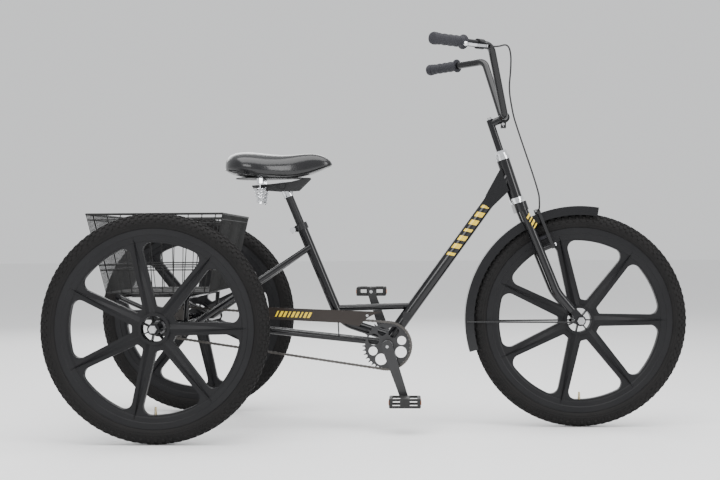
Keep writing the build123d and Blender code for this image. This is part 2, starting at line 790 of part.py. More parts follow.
def seat_stays():
    start = seat_top - seat_up * seat_stay_below_top
    stay = rod((start.X, -9, start.Z), (cross_x, -seat_stay_spread, axle_z), stay_radius, tube_wall)
    stay -= seat_tube_run()
    stay -= across(cross_x, axle_z, -300, 0, cross_tube_radius)
    stay = stay.solids().sort_by(SortBy.VOLUME)[-1]
    return [stay, mirror(stay, about=Plane.XZ)]


def bearing_plate_at(y, bore):
    outline = lap((cross_x, axle_z), cross_tube_radius + 3, (rear_x, axle_z), bearing_radius + 7)
    half = bearing_plate / 2
    plate = side_slab(outline, y - half, y + half)
    return plate - across(rear_x, axle_z, y - half, y + half, bore)


def rear_subframe():
    """Cross tube with the four plates that carry the axles."""
    half = bearing_plate_y + bearing_plate / 2
    frame = across(cross_x, axle_z, -half, half, cross_tube_radius)
    frame -= across(cross_x, axle_z, -half, half, cross_tube_radius - tube_wall)
    plates = bearing_plate_at(-bearing_plate_y, bearing_radius)
    plates += bearing_plate_at(-inner_plate_y, bearing_radius)
    plates += bearing_plate_at(bearing_plate_y, rear_axle_radius)
    plates += bearing_plate_at(inner_plate_y, rear_axle_radius)
    core = across(cross_x, axle_z, -half - 1, half + 1, cross_tube_radius - tube_wall)
    return (frame + plates) - core


def axle_bearings():
    rings = []
    for y in (-bearing_plate_y, -inner_plate_y):
        ring = across(rear_x, axle_z, y - bearing_width / 2, y + bearing_width / 2, bearing_radius)
        rings.append(ring - across(rear_x, axle_z, y - 20, y + 20, rear_axle_radius + running_fit))
    return rings


wheel_inner_y = wheel_y - hub_inner_reach
wheel_outer_y = wheel_y + hub_outer_reach


def left_axle():
    """Fixed axle on which the left wheel turns."""
    axle = across(rear_x, axle_z, rear_axle_end_gap, axle_tip_y, rear_axle_radius)
    plate_outer = bearing_plate_y + bearing_plate / 2
    return axle + across(rear_x, axle_z, plate_outer, wheel_inner_y - body_gap,
                         rear_axle_radius + axle_shoulder)


def left_axle_nut():
    low = wheel_outer_y + body_gap
    return axle_nut(rear_x, axle_z, low, low + axle_nut_height, rear_axle_radius)


def drive_axle():
    """Axle that the chain turns, with the shoulder that the right wheel sits against."""
    axle = across(rear_x, axle_z, -axle_tip_y, -rear_axle_end_gap, rear_axle_radius)
    bearing_outer = bearing_plate_y + bearing_width / 2 + body_gap
    return axle + across(rear_x, axle_z, -wheel_inner_y, -bearing_outer,
                         rear_axle_radius + axle_shoulder)


def drive_axle_nut():
    low = wheel_outer_y
    return axle_nut(rear_x, axle_z, -low - axle_nut_height, -low, rear_axle_radius)


def axle_sprocket():
    half = sprocket_thickness / 2
    disc = side_slab(toothed_disc(axle_sprocket_teeth, sprocket_phase, rear_axle_radius),
                     chain_y - half, chain_y + half)
    hub = across(0, 0, chain_y - 8, chain_y + 8, 15) - across(0, 0, chain_y - 9, chain_y + 9,
                                                               rear_axle_radius)
    return Pos(rear_x, 0, axle_z) * (disc + hub)


# --- Cranks ---------------------------------------------------------------------------

def pedal_axis(side):
    """X and Z of a pedal's axis; side is -1 for the right pedal and 1 for the left."""
    angle = radians(crank_angle + (180 if side > 0 else 0))
    return (bracket_x + crank_length * cos(angle), bracket_z + crank_length * sin(angle))


boss_inner_y = shell_half + 7.5
crank_outer_y = crank_inner_y + crank_thickness


def crank_arm(side):
    x, z = pedal_axis(side)
    outline = lap((bracket_x, bracket_z), 17, (x, z), 12)
    low, high = sorted((side * crank_inner_y, side * crank_outer_y))
    arm = side_slab(outline, low, high)
    low, high = sorted((side * boss_inner_y, side * crank_outer_y))
    arm += across(bracket_x, bracket_z, low, high, 17)
    arm -= across(bracket_x, bracket_z, -crank_inner_y - 8, crank_inner_y + 8, spindle_radius)
    return arm - across(x, z, -crank_outer_y - 1, crank_outer_y + 1, pedal_axle_radius)


def crank_spindle():
    return across(bracket_x, bracket_z, -crank_inner_y - 8, crank_inner_y + 8, spindle_radius)


def chainring():
    """Toothed ring with eight lightening holes, bolted on the right crank's boss."""
    outline = toothed_disc(chainring_teeth, chainring_phase, 17)
    for turn in range(4):
        outline -= Rot(0, 0, 65 + turn * 90) * (Pos(46, 0) * Circle(17.5))
        outline -= Rot(0, 0, 20 + turn * 90) * (Pos(47, 0) * Circle(13.5))
    half = sprocket_thickness / 2
    return Pos(bracket_x, 0, bracket_z) * side_slab(outline, chain_y - half, chain_y + half)


pedal_inner_y = crank_outer_y + 3
pedal_outer_y = pedal_inner_y + pedal_width


def pedal_axles():
    axles = []
    for side in (-1, 1):
        x, z = pedal_axis(side)
        low, high = sorted((side * crank_inner_y, side * (pedal_outer_y - 8)))
        axle = across(x, z, low, high, pedal_axle_radius)
        low, high = sorted((side * crank_outer_y, side * (pedal_inner_y - body_gap)))
        axles.append(axle + across(x, z, low, high, pedal_axle_radius + 3))
    return axles


def pedal(side):
    """Caged platform pedal that turns on its axle."""
    x, z = pedal_axis(side)
    middle = side * (pedal_inner_y + pedal_width / 2)
    cage = fillet(Box(pedal_length, pedal_width, pedal_height).edges().filter_by(Axis.Y), 4)
    bay = pedal_length / 4 + 2
    for front in (-1, 1):
        cage -= Pos(front * bay, 0, 0) * Box(24, pedal_width - 18, pedal_height + 2)
        cage -= Pos(front * bay, 0, 0) * Box(22, pedal_width + 2, pedal_height - 14)
    cage = Pos(x, middle, z) * cage
    low, high = sorted((side * (pedal_inner_y - 1), side * (pedal_outer_y - 8 + body_gap)))
    return cage - across(x, z, low, high, pedal_axle_radius + running_fit)


# --- Chain guard ----------------------------------------------------------------------

guard_y = -66.0
guard_sheet = 2.5
guard_outer = pitch_radius(chainring_teeth) + 32
guard_inner = pitch_radius(chainring_teeth) + 5.5
guard_tail_x = bracket_x - 403


def chain_guard():
    """Flat hockey-stick plate over the upper run and round the front of the chainring."""
    ring = Pos(bracket_x, bracket_z) * Circle(guard_outer)
    tail = Polygon((guard_tail_x, bracket_z + 86), (guard_tail_x, bracket_z + 122),
                   (bracket_x - 8, bracket_z + guard_outer - 0.3), (bracket_x, bracket_z),
                   (bracket_x - 66, bracket_z + 57), (bracket_x - 143, bracket_z + 72), align=None)
    outline = ring + tail - Pos(bracket_x, bracket_z) * Circle(guard_inner)
    below = Polygon((guard_tail_x - 9, bracket_z + 86), (guard_tail_x, bracket_z + 86),
                    (bracket_x - 143, bracket_z + 72), (bracket_x - 66, bracket_z + 57),
                    (bracket_x - 66, bracket_z - 23), (bracket_x + 200, bracket_z - 23),
                    (bracket_x + 200, bracket_z - 200), (guard_tail_x - 9, bracket_z - 200),
                    align=None)
    guard = side_slab(outline - below, guard_y - guard_sheet, guard_y)
    return guard.solids().sort_by(SortBy.VOLUME)[-1]


def chain_guard_brackets():
    """Tab on the down tube, and the thin wire that ties the guard to the right chainstay."""
    tab_x, tab_z = bracket_x + 60, bracket_z + 92
    tab = Pos(tab_x, guard_y + 1.5, tab_z) * Box(24, 3, 24)
    leg = Pos(tab_x, (guard_y + 3) / 2 - 5, tab_z + 4) * Box(20, abs(guard_y) - 13, 3)
    front = tab + leg - down_tube_run()
    front = front.solids().sort_by(SortBy.VOLUME)[-1]
    wire_x = bracket_x - 150
    stay_z = bracket_z + 6 + (axle_z - 12 - bracket_z) * (bracket_x - wire_x) / (bracket_x - cross_x)
    wire = rod((wire_x, guard_y - 3, bracket_z + 80), (wire_x, -chainstay_y - 4, stay_z), 2)
    wire -= Pos(wire_x, guard_y - 20, bracket_z + 80) * Box(60, 40, 60)
    wire -= rod((bracket_x, -chainstay_y, bracket_z + 6), (cross_x, -chainstay_y, axle_z - 6),
                stay_radius)
    wire = wire.solids().sort_by(SortBy.VOLUME)[-1]
    return [front, wire]


# --- Seat -----------------------------------------------------------------------------

post_top = seat_top + seat_up * seat_post_show
tilt_x = post_top.X - 11
tilt_z = post_top.Z + 14


def seat_point(rise, ahead=0.0, y=0.0):
    point = seat_top + seat_up * rise + seat_ahead * ahead
    return (point.X, y, point.Z)


def seat_post():
    return rod(seat_point(-seat_post_inside), tuple(post_top), seat_post_radius, tube_wall)


def seat_clamp():
    """Split collar round the top of the seat tube, its ears behind it."""
    collar = rod(seat_point(-20), seat_point(0), seat_tube_radius + 4)
    plane = Plane(origin=seat_point(-18), x_dir=seat_ahead, z_dir=seat_up)
    collar += extrude(plane * (Pos(-seat_tube_radius - 9, 0) * Rectangle(20, 18)), 16)
    collar -= rod(seat_point(-30), seat_point(10), seat_tube_radius)
    collar -= extrude(plane * (Pos(-seat_tube_radius - 12, 0) * Rectangle(30, 3)), 30, both=True)
    bolt = seat_point(-10, -seat_tube_radius - 12)
    return collar - across(bolt[0], bolt[2], -20, 20, 3)


def seat_clamp_knob():
    """Through bolt with a round knob on the right and a nut on the left."""
    x, _, z = seat_point(-10, -seat_tube_radius - 12)
    knob = across(x, z, -20, 14, 3) + across(x, z, -26, -9, 9) + across(x, z, 9, 14, 6)
    return knob


def saddle_clamp():
    """Barrel on top of the post that the saddle's bolt passes through."""
    barrel = across(tilt_x, tilt_z, -16, 16, 14)
    collar = rod(post_top - seat_up * 22, post_top + seat_up * 9, seat_post_radius + 3)
    clamp = barrel + collar - rod(post_top - seat_up * 30, post_top, seat_post_radius)
    return clamp - across(tilt_x, tilt_z, -20, 20, saddle_bolt_radius + running_fit)


saddle_floor = tilt_z + 22
spring_x = tilt_x - 66


def saddle_frame():
    """Steel pan on two cheek plates with their cross bolt and the bridge over the springs."""
    outline = Polygon((tilt_x + 88, saddle_floor), (tilt_x + 66, saddle_floor),
                      (tilt_x + 28, saddle_floor - 9), (tilt_x - 36, saddle_floor - 16),
                      (tilt_x - 92, saddle_floor - 20), (tilt_x - 92, saddle_floor - 30),
                      (tilt_x - 48, saddle_floor - 36), (tilt_x, saddle_floor - 40),
                      (tilt_x + 50, saddle_floor - 37), align=None)
    cheek = side_slab(outline, -20, -16.3)
    body = cheek + mirror(cheek, about=Plane.XZ)
    body += across(tilt_x, tilt_z, -24, 24, saddle_bolt_radius)
    body += across(tilt_x, tilt_z, -27, -20, 9) + across(tilt_x, tilt_z, 20, 27, 9)
    bridge_z = saddle_floor - 25
    bridge = Pos(spring_x - 10, 0, bridge_z) * Box(24, 2 * saddle_spring_y + 24, 5)
    for side in (-1, 1):
        bridge -= Pos(spring_x, side * saddle_spring_y, bridge_z) * Cylinder(4, 10)
    rear = Pos(tilt_x - 72, 0) * Circle(saddle_width * 0.3)
    nose = Pos(tilt_x + 68, 0) * Circle(20)
    pan = Pos(0, 0, saddle_floor) * extrude(make_hull((rear + nose).edges()), 3, dir=(0, 0, 1))
    return body + bridge + pan


def saddle_springs():
    """Cone springs under the rear bridge, each on the bolt that hangs from the base."""
    springs = []
    turns, wire, steps = 5.5, 1.6, 12
    bottom = saddle_floor - 78
    first, last = saddle_floor - 27.7 - wire, bottom + 5.2 + wire
    for side in (-1, 1):
        y = side * saddle_spring_y
        points = []
        for step in range(int(turns * steps) + 1):
            share = step / (turns * steps)
            radius = 17 - 8.5 * share
            angle = 2 * pi * turns * share
            points.append((spring_x + radius * cos(angle), y + radius * sin(angle),
                           first + (last - first) * share))
        path = Spline(*points)
        springs.append(sweep(Plane(origin=path @ 0, z_dir=path % 0) * Circle(wire), path=path))
        bolt = rod((spring_x, y, saddle_floor), (spring_x, y, bottom), 3)
        bolt += rod((spring_x, y, saddle_floor), (spring_x, y, saddle_floor - 16), 10)
        bolt += rod((spring_x, y, bottom + 5), (spring_x, y, bottom), 9)
        springs.append(bolt)
    return springs


def saddle_cushion():
    """Padded top, narrow at the nose and dished in the middle."""
    half = saddle_width / 2
    stations = [(-180, 46, 72, 0.50), (-146, 24, 95, 0.88), (-98, 10, 105, 1.0), (-38, 6, 98, 0.9),
                (22, 6, 93, 0.58), (82, 14, 99, 0.37), (127, 32, 93, 0.27), (156, 52, 70, 0.12)]
    sections = []
    for run, low, high, share in stations:
        plane = Plane(origin=(tilt_x + run, 0, tilt_z + (low + high) / 2),
                      x_dir=(0, 1, 0), z_dir=(1, 0, 0))
        sections.append(plane * Ellipse(half * share, (high - low) / 2))
    cushion = loft([s.faces()[0] for s in sections])
    floor = Pos(tilt_x, 0, saddle_floor + 3.3 - 50) * Box(500, 400, 100)
    return cushion - floor


# --- Basket ---------------------------------------------------------------------------

basket_floor_z = axle_z + basket_above_axle
basket_half_top = wheel_y - tyre_width / 2 - basket_wheel_gap
basket_front_top = rear_x + basket_front_ahead
basket_front_low = basket_front_top - (basket_depth - basket_bottom_depth) / 2


def basket_face(z, inset):
    """Rectangle of the basket's outline at a height, drawn in by the inset."""
    share = (z - basket_floor_z) / basket_height
    front = basket_front_low + (basket_front_top - basket_front_low) * share - inset
    depth = basket_bottom_depth + (basket_depth - basket_bottom_depth) * share - 2 * inset
    half = basket_half_top - basket_taper * (1 - share) - inset
    return Pos(front - depth / 2, 0, z) * Rectangle(depth, 2 * half)


def basket():
    top_z = basket_floor_z + basket_height
    outer = loft([basket_face(basket_floor_z, 0).faces()[0], basket_face(top_z, 0).faces()[0]],
                 ruled=True)
    floor = basket_floor_z + basket_wall
    inner = loft([basket_face(floor, basket_wall).faces()[0],
                  basket_face(top_z, basket_wall).faces()[0]], ruled=True)
    return outer - inner


rail_radius = 8.0
strut_radius = 7.0
rail_z = basket_floor_z - rail_radius
rail_y = 140.0
front_rail_x = rear_x + 80
rear_rail_x = rear_x - 120
strut_y = bearing_plate_y - bearing_plate / 2 - rail_radius


def basket_frame():
    """Rails under the basket, carried on four struts from the cross tube."""
    half = strut_y + rail_radius + 3
    frame = rod((front_rail_x, -half, rail_z), (front_rail_x, half, rail_z), rail_radius)
    frame += rod((rear_rail_x, -half, rail_z), (rear_rail_x, half, rail_z), rail_radius)
    for y in (-rail_y, rail_y):
        frame += rod((front_rail_x, y, rail_z), (rear_rail_x, y, rail_z), strut_radius)
    for y in (-strut_y, strut_y):
        frame += rod((cross_x, y, axle_z), (front_rail_x, y, rail_z), strut_radius)
        frame += rod((cross_x, y, axle_z), (rear_rail_x, y, rail_z), strut_radius)
    half_cross = bearing_plate_y + bearing_plate
    return frame - across(cross_x, axle_z, -half_cross, half_cross, cross_tube_radius)


# --- Assembly -------------------------------------------------------------------------

def place_wheel(rim, x, y, turned=False):
    """Moves a wheel piece, modelled at the origin, to its axle."""
    turn = Rot(0, 0, 180) if turned else Rot(0, 0, 0)
    return Pos(x, y, axle_z) * (turn * rim)


front_rim = mag_wheel(front_axle_radius + 3, front_hub_half, front_hub_half, 13, 10)
rear_rim = mag_wheel(rear_axle_radius, hub_inner_reach, hub_outer_reach)
loose_rim = mag_wheel(rear_axle_radius + running_fit, hub_inner_reach, hub_outer_reach)
casing = tyre()


def front_hub_bearings():
    rings = []
    for side in (-1, 1):
        low, high = sorted((side * (front_hub_half - 10), side * front_hub_half))
        ring = across(front_x, axle_z, low, high, 13)
        rings.append(ring - across(front_x, axle_z, -60, 60, front_axle_radius + running_fit))
    return rings


pieces = {
    "head_tube": head_tube(),
    "headset_cups": headset_cups(),
    "down_tube": down_tube(),
    "head_gusset": head_gusset(),
    "seat_tube": seat_tube(),
    "bridge_tube": bridge_tube(),
    "bottom_bracket_shell": bottom_bracket_shell(),
    "bottom_bracket_cups": bottom_bracket_cups(),
    "chainstays": chainstays(),
    "seat_stays": seat_stays(),
    "rear_subframe": rear_subframe(),
    "axle_bearings": axle_bearings(),
    "left_axle": left_axle(),
    "left_axle_nut": left_axle_nut(),
    "basket_frame": basket_frame(),
    "basket": basket(),
    "chain_guard": chain_guard(),
    "chain_guard_brackets": chain_guard_brackets(),
    "seat_clamp": seat_clamp(),
    "seat_clamp_knob": seat_clamp_knob(),
    "chain": chain(),
    "fork_crown": fork_crown(),
    "fork_blades": fork_blades(),
    "headset_races": headset_races(),
    "front_axle": front_axle(),
    "front_axle_nuts": front_axle_nuts(),
    "front_fender": front_fender(),
    "fender_stays": fender_stays(),
    "right_brake_arm": right_brake_arm(),
    "left_brake_arm": mirror(right_brake_arm(), about=Plane.XZ),
    "right_brake_pad": right_brake_pad(),
    "left_brake_pad": mirror(right_brake_pad(), about=Plane.XZ),
    "front_rim": place_wheel(front_rim, front_x, 0),
    "front_tyre": place_wheel(casing, front_x, 0),
    "front_hub_bearings": front_hub_bearings(),
    "stem": stem(),
    "handlebar": handlebar(),
    "grips": grips(),
    "brake_lever_bracket": brake_lever_bracket(),
    "brake_lever": brake_lever(),
    "brake_cable": brake_cable(),
    "drive_axle": drive_axle(),
    "drive_axle_nut": drive_axle_nut(),
    "axle_sprocket": axle_sprocket(),
    "right_rim": place_wheel(rear_rim, rear_x, -wheel_y),
    "right_tyre": place_wheel(casing, rear_x, -wheel_y),
    "left_rim": place_wheel(loose_rim, rear_x, wheel_y, turned=True),
    "left_tyre": place_wheel(casing, rear_x, wheel_y, turned=True),
    "crank_spindle": crank_spindle(),
    "right_crank_arm": crank_arm(-1),
    "left_crank_arm": crank_arm(1),
    "chainring": chainring(),
    "pedal_axles": pedal_axles(),
    "right_pedal": pedal(-1),
    "left_pedal": pedal(1),
    "seat_post": seat_post(),
    "saddle_clamp": saddle_clamp(),
    "saddle_frame": saddle_frame(),
    "saddle_springs": saddle_springs(),
    "saddle_cushion": saddle_cushion(),
}

os.makedirs(STEPS, exist_ok=True)
for name, shape in pieces.items():
    save(name, shape)
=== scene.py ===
import json
import math
import bmesh
import bpy
import numpy as np
from mathutils import Matrix, Vector


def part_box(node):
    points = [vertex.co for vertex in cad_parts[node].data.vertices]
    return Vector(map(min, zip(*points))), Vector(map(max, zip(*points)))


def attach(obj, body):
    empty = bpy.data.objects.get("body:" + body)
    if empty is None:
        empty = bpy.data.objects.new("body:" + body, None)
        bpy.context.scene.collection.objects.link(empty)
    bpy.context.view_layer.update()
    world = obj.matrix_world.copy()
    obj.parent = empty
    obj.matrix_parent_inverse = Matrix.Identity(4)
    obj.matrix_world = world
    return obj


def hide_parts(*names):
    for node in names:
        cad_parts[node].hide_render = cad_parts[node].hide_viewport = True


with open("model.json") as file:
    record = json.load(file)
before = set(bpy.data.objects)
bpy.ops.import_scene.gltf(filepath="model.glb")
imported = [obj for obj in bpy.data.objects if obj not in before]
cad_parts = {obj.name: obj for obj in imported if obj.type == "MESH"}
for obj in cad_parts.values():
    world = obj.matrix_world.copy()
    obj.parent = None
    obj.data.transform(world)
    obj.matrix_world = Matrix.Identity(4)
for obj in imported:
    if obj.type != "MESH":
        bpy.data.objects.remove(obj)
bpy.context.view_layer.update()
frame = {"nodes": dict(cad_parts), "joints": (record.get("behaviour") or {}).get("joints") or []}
nodes = frame["nodes"]

# --- Camera and studio ----------------------------------------------------------------
# A long lens set low at the machine's right side, a pale floor, and soft boxes
# overhead and to both sides, as in a showroom.

lens = bpy.data.cameras.new("studio_camera")
lens.lens = 62.6
lens.clip_end = 100.0
camera = bpy.data.objects.new("studio_camera", lens)
bpy.context.scene.collection.objects.link(camera)
stand = Matrix.Translation((0.1081, -3.9022, 0.5652))
turn = Matrix.Rotation(0.0411, 4, "Z") @ Matrix.Rotation(0.0040, 4, "X")
turn = turn @ Matrix.Rotation(0.0055, 4, "Y") @ Matrix.Rotation(math.pi / 2, 4, "X")
camera.matrix_world = stand @ turn
bpy.context.scene.camera = camera


def soft_box(name, place, aim, size, power):
    light = bpy.data.lights.new(name, "AREA")
    light.shape = "RECTANGLE"
    light.size, light.size_y = size
    light.energy = power
    lamp = bpy.data.objects.new(name, light)
    bpy.context.scene.collection.objects.link(lamp)
    lamp.location = place
    lamp.rotation_euler = (Vector(aim) - Vector(place)).to_track_quat("-Z", "Y").to_euler()


soft_box("overhead_box", (0.0, -0.6, 3.6), (0, 0, 0.5), (5.0, 3.0), 190)
soft_box("front_box", (-1.6, -4.4, 2.4), (0, 0, 0.5), (3.0, 1.6), 95)
soft_box("right_box", (3.6, -2.4, 1.8), (0.3, 0, 0.6), (1.4, 2.4), 70)
soft_box("back_box", (-1.5, 4.0, 2.6), (0, 0, 0.6), (4.0, 1.6), 70)

world = bpy.data.worlds.new("studio_air")
bpy.context.scene.world = world
world.use_nodes = True
world.node_tree.nodes["Background"].inputs[0].default_value = (0.93, 0.94, 0.95, 1)
world.node_tree.nodes["Background"].inputs[1].default_value = 0.95

floor_bm = bmesh.new()
bmesh.ops.create_circle(floor_bm, cap_ends=True, segments=96, radius=40.0)
floor_mesh = bpy.data.meshes.new("studio_floor")
floor_bm.to_mesh(floor_mesh)
floor = bpy.data.objects.new("studio_floor", floor_mesh)
bpy.context.scene.collection.objects.link(floor)
floor_paint = bpy.data.materials.new("floor_paint")
floor_paint.use_nodes = True
floor_shader = floor_paint.node_tree.nodes["Principled BSDF"]
floor_shader.inputs["Base Color"].default_value = (0.90, 0.90, 0.90, 1)
floor_shader.inputs["Roughness"].default_value = 0.75
floor_mesh.materials.append(floor_paint)

# --- Brake cable ----------------------------------------------------------------------
# Black plastic-covered housing that hangs free from the lever's stop on the right grip,
# in front of the handlebar, to the right arm of the front brake.


def new_group(name, inputs, outputs):
    group = bpy.data.node_groups.new(name, "ShaderNodeTree")
    for label, kind, value in inputs:
        socket = group.interface.new_socket(label, in_out="INPUT", socket_type=kind)
        if value is not None:
            socket.default_value = value
    for label, kind in outputs:
        group.interface.new_socket(label, in_out="OUTPUT", socket_type=kind)
    return group, group.nodes.new("NodeGroupInput"), group.nodes.new("NodeGroupOutput")


def build_mottle():
    """Uneven film on a surface: broad drift with fine specks, as a mask from 0 to 1."""
    group, given, result = new_group(
        "uneven_film",
        [("Vector", "NodeSocketVector", None), ("Scale", "NodeSocketFloat", 8.0)],
        [("Drift", "NodeSocketFloat"), ("Specks", "NodeSocketFloat")])
    drift = group.nodes.new("ShaderNodeTexNoise")
    drift.inputs["Detail"].default_value = 4.0
    group.links.new(given.outputs["Vector"], drift.inputs["Vector"])
    group.links.new(given.outputs["Scale"], drift.inputs["Scale"])
    finer = group.nodes.new("ShaderNodeMath")
    finer.operation = "MULTIPLY"
    finer.inputs[1].default_value = 14.0
    group.links.new(given.outputs["Scale"], finer.inputs[0])
    specks = group.nodes.new("ShaderNodeTexNoise")
    specks.inputs["Detail"].default_value = 2.0
    group.links.new(given.outputs["Vector"], specks.inputs["Vector"])
    group.links.new(finer.outputs[0], specks.inputs["Scale"])
    sharpen = group.nodes.new("ShaderNodeMapRange")
    sharpen.inputs["From Min"].default_value = 0.58
    sharpen.inputs["From Max"].default_value = 0.74
    group.links.new(specks.outputs["Fac"], sharpen.inputs["Value"])
    group.links.new(drift.outputs["Fac"], result.inputs["Drift"])
    group.links.new(sharpen.outputs["Result"], result.inputs["Specks"])
    return group


def build_scuffs():
    """Fine rubbed lines that run every way, as a mask from 0 to 1."""
    group, given, result = new_group(
        "rubbed_lines",
        [("Vector", "NodeSocketVector", None), ("Scale", "NodeSocketFloat", 30.0)],
        [("Lines", "NodeSocketFloat")])
    bend = group.nodes.new("ShaderNodeTexNoise")
    bend.inputs["Detail"].default_value = 3.0
    bend.inputs["Distortion"].default_value = 1.2
    group.links.new(given.outputs["Vector"], bend.inputs["Vector"])
    group.links.new(given.outputs["Scale"], bend.inputs["Scale"])
    ridge = group.nodes.new("ShaderNodeMath")
    ridge.operation = "SUBTRACT"
    ridge.inputs[1].default_value = 0.5
    group.links.new(bend.outputs["Fac"], ridge.inputs[0])
    width = group.nodes.new("ShaderNodeMath")
    width.operation = "ABSOLUTE"
    group.links.new(ridge.outputs[0], width.inputs[0])
    lines = group.nodes.new("ShaderNodeMapRange")
    lines.inputs["From Min"].default_value = 0.006
    lines.inputs["From Max"].default_value = 0.0
    group.links.new(width.outputs[0], lines.inputs["Value"])
    group.links.new(lines.outputs["Result"], result.inputs["Lines"])
    return group


uneven_film = build_mottle()
rubbed_lines = build_scuffs()


def finish(name, colour, other, rough, metal=0.0, scale=8.0, coat=0.0, grain=0.0,
           grain_scale=600.0, cells=False, lines=0.0, specular=0.5):
    """A finish whose colour drifts to a second one, with rubbed lines and grain."""
    material = bpy.data.materials.new(name)
    material.use_nodes = True
    tree = material.node_tree
    shader = tree.nodes["Principled BSDF"]
    shader.inputs["Coat Weight"].default_value = coat
    shader.inputs["Coat Roughness"].default_value = 0.08
    shader.inputs["Metallic"].default_value = metal
    shader.inputs["Specular IOR Level"].default_value = specular
    where = tree.nodes.new("ShaderNodeTexCoord")
    film = tree.nodes.new("ShaderNodeGroup")
    film.node_tree = uneven_film
    film.inputs["Scale"].default_value = scale
    tree.links.new(where.outputs["Object"], film.inputs["Vector"])
    tint = tree.nodes.new("ShaderNodeMix")
    tint.data_type = "RGBA"
    tint.inputs[6].default_value = (*colour, 1)
    tint.inputs[7].default_value = (*other, 1)
    tree.links.new(film.outputs["Drift"], tint.inputs[0])
    tree.links.new(tint.outputs[2], shader.inputs["Base Color"])
    gloss = tree.nodes.new("ShaderNodeMapRange")
    gloss.inputs["To Min"].default_value = rough * 0.75
    gloss.inputs["To Max"].default_value = min(1.0, rough * 1.3)
    tree.links.new(film.outputs["Drift"], gloss.inputs["Value"])
    last = gloss.outputs["Result"]
    if lines:
        rubs = tree.nodes.new("ShaderNodeGroup")
        rubs.node_tree = rubbed_lines
        rubs.inputs["Scale"].default_value = scale * 5
        tree.links.new(where.outputs["Object"], rubs.inputs["Vector"])
        add = tree.nodes.new("ShaderNodeMath")
        add.operation = "MULTIPLY_ADD"
        add.inputs[1].default_value = lines
        tree.links.new(rubs.outputs["Lines"], add.inputs[0])
        tree.links.new(last, add.inputs[2])
        last = add.outputs[0]
    tree.links.new(last, shader.inputs["Roughness"])
    if grain:
        pattern = tree.nodes.new("ShaderNodeTexVoronoi" if cells else "ShaderNodeTexNoise")
        pattern.inputs["Scale"].default_value = grain_scale
        tree.links.new(where.outputs["Object"], pattern.inputs["Vector"])
        bump = tree.nodes.new("ShaderNodeBump")
        bump.inputs["Strength"].default_value = grain
        bump.inputs["Distance"].default_value = 0.001
        height = pattern.outputs["Distance" if cells else "Fac"]
        tree.links.new(height, bump.inputs["Height"])
        tree.links.new(bump.outputs["Normal"], shader.inputs["Normal"])
    return material


housing_plastic = finish("housing_plastic", (0.014, 0.014, 0.015), (0.022, 0.022, 0.023), 0.32,
                         scale=40, grain=0.08, grain_scale=900, specular=0.3)
cable_diameter = 0.005
cable_route = [
    (0.3465, -0.1988, 1.1494), (0.3655, -0.1810, 1.1497), (0.3977, -0.1480, 1.1642),
    (0.4099, -0.1300, 1.1397), (0.4101, -0.1150, 1.0904), (0.4050, -0.0980, 1.0351),
    (0.4166, -0.0660, 0.9800), (0.4273, -0.0450, 0.9404), (0.4930, -0.0993, 0.7261),
    (0.4960, -0.0953, 0.6901), (0.4970, -0.0733, 0.6701), (0.4970, -0.0513, 0.6681)]
cable_line = bpy.data.curves.new("brake_cable_housing", "CURVE")
cable_line.dimensions = "3D"
cable_line.bevel_depth = cable_diameter / 2
cable_line.bevel_resolution = 4
cable_line.resolution_u = 16
cable_line.use_fill_caps = True
spline = cable_line.splines.new("NURBS")
spline.points.add(len(cable_route) - 1)
for point, place in zip(spline.points, cable_route):
    point.co = (*place, 1)
spline.order_u = 3
spline.use_endpoint_u = True
cable_line.materials.append(housing_plastic)
cable = bpy.data.objects.new("brake_cable_housing", cable_line)
bpy.context.scene.collection.objects.link(cable)
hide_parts("brake_cable")
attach(cable, "handlebar")

# --- Frame, fork and bars -------------------------------------------------------------
# Welded steel tube in gloss black enamel over a smooth primer. The fork, the stem and
# the handlebar are enamelled in the same black.

black_enamel = finish("black_enamel", (0.004, 0.004, 0.005), (0.007, 0.007, 0.008), 0.16,
                      scale=5, coat=0.30, grain=0.02, grain_scale=260, lines=0.12, specular=0.25)
satin_black = finish("satin_black", (0.012, 0.012, 0.013), (0.020, 0.020, 0.021), 0.38,
                     scale=14, grain=0.06, grain_scale=900, lines=0.10, specular=0.25)


def coat_nodes(material, names):
    for name in names.split():
        mesh = nodes[name].data
        mesh.materials.clear()
        mesh.materials.append(material)


coat_nodes(black_enamel, "head_tube down_tube head_gusset seat_tube bridge_tube "
           "bottom_bracket_shell chainstays seat_stays rear_subframe fork_crown fork_blades "
           "front_fender fender_stays stem handlebar basket_frame")
coat_nodes(satin_black, "chain_guard_brackets seat_clamp saddle_frame brake_lever_bracket "
           "right_brake_arm left_brake_arm seat_post")


def settle(name, bm, body, material, smooth=True):
    """Closes a piece's mesh, puts it in the scene and fixes it to the body it rides on."""
    bmesh.ops.remove_doubles(bm, verts=bm.verts, dist=1e-6)
    bmesh.ops.recalc_face_normals(bm, faces=bm.faces)
    for face in bm.faces:
        face.smooth = smooth
    mesh = bpy.data.meshes.new(name)
    bm.to_mesh(mesh)
    bm.free()
    if smooth:
        mesh.set_sharp_from_angle(angle=math.radians(38))
    mesh.materials.append(material)
    piece = bpy.data.objects.new(name, mesh)
    bpy.context.scene.collection.objects.link(piece)
    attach(piece, body)
    return piece


def aimed(start, end):
    """Matrix that puts the origin midway between two points with Z along them."""
    start, end = Vector(start), Vector(end)
    way = (end - start).normalized()
    return Matrix.Translation((start + end) / 2) @ way.to_track_quat("Z", "Y").to_matrix().to_4x4()


def peg(bm, start, end, radius, sides=24, tip=None):
    """Round or many-sided peg between two points."""
    length = (Vector(end) - Vector(start)).length
    bmesh.ops.create_cone(bm, cap_ends=True, segments=sides, radius1=radius,
                          radius2=radius if tip is None else tip, depth=length,
                          matrix=aimed(start, end))


def middle(name):
    low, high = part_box(name)
    return (low + high) / 2


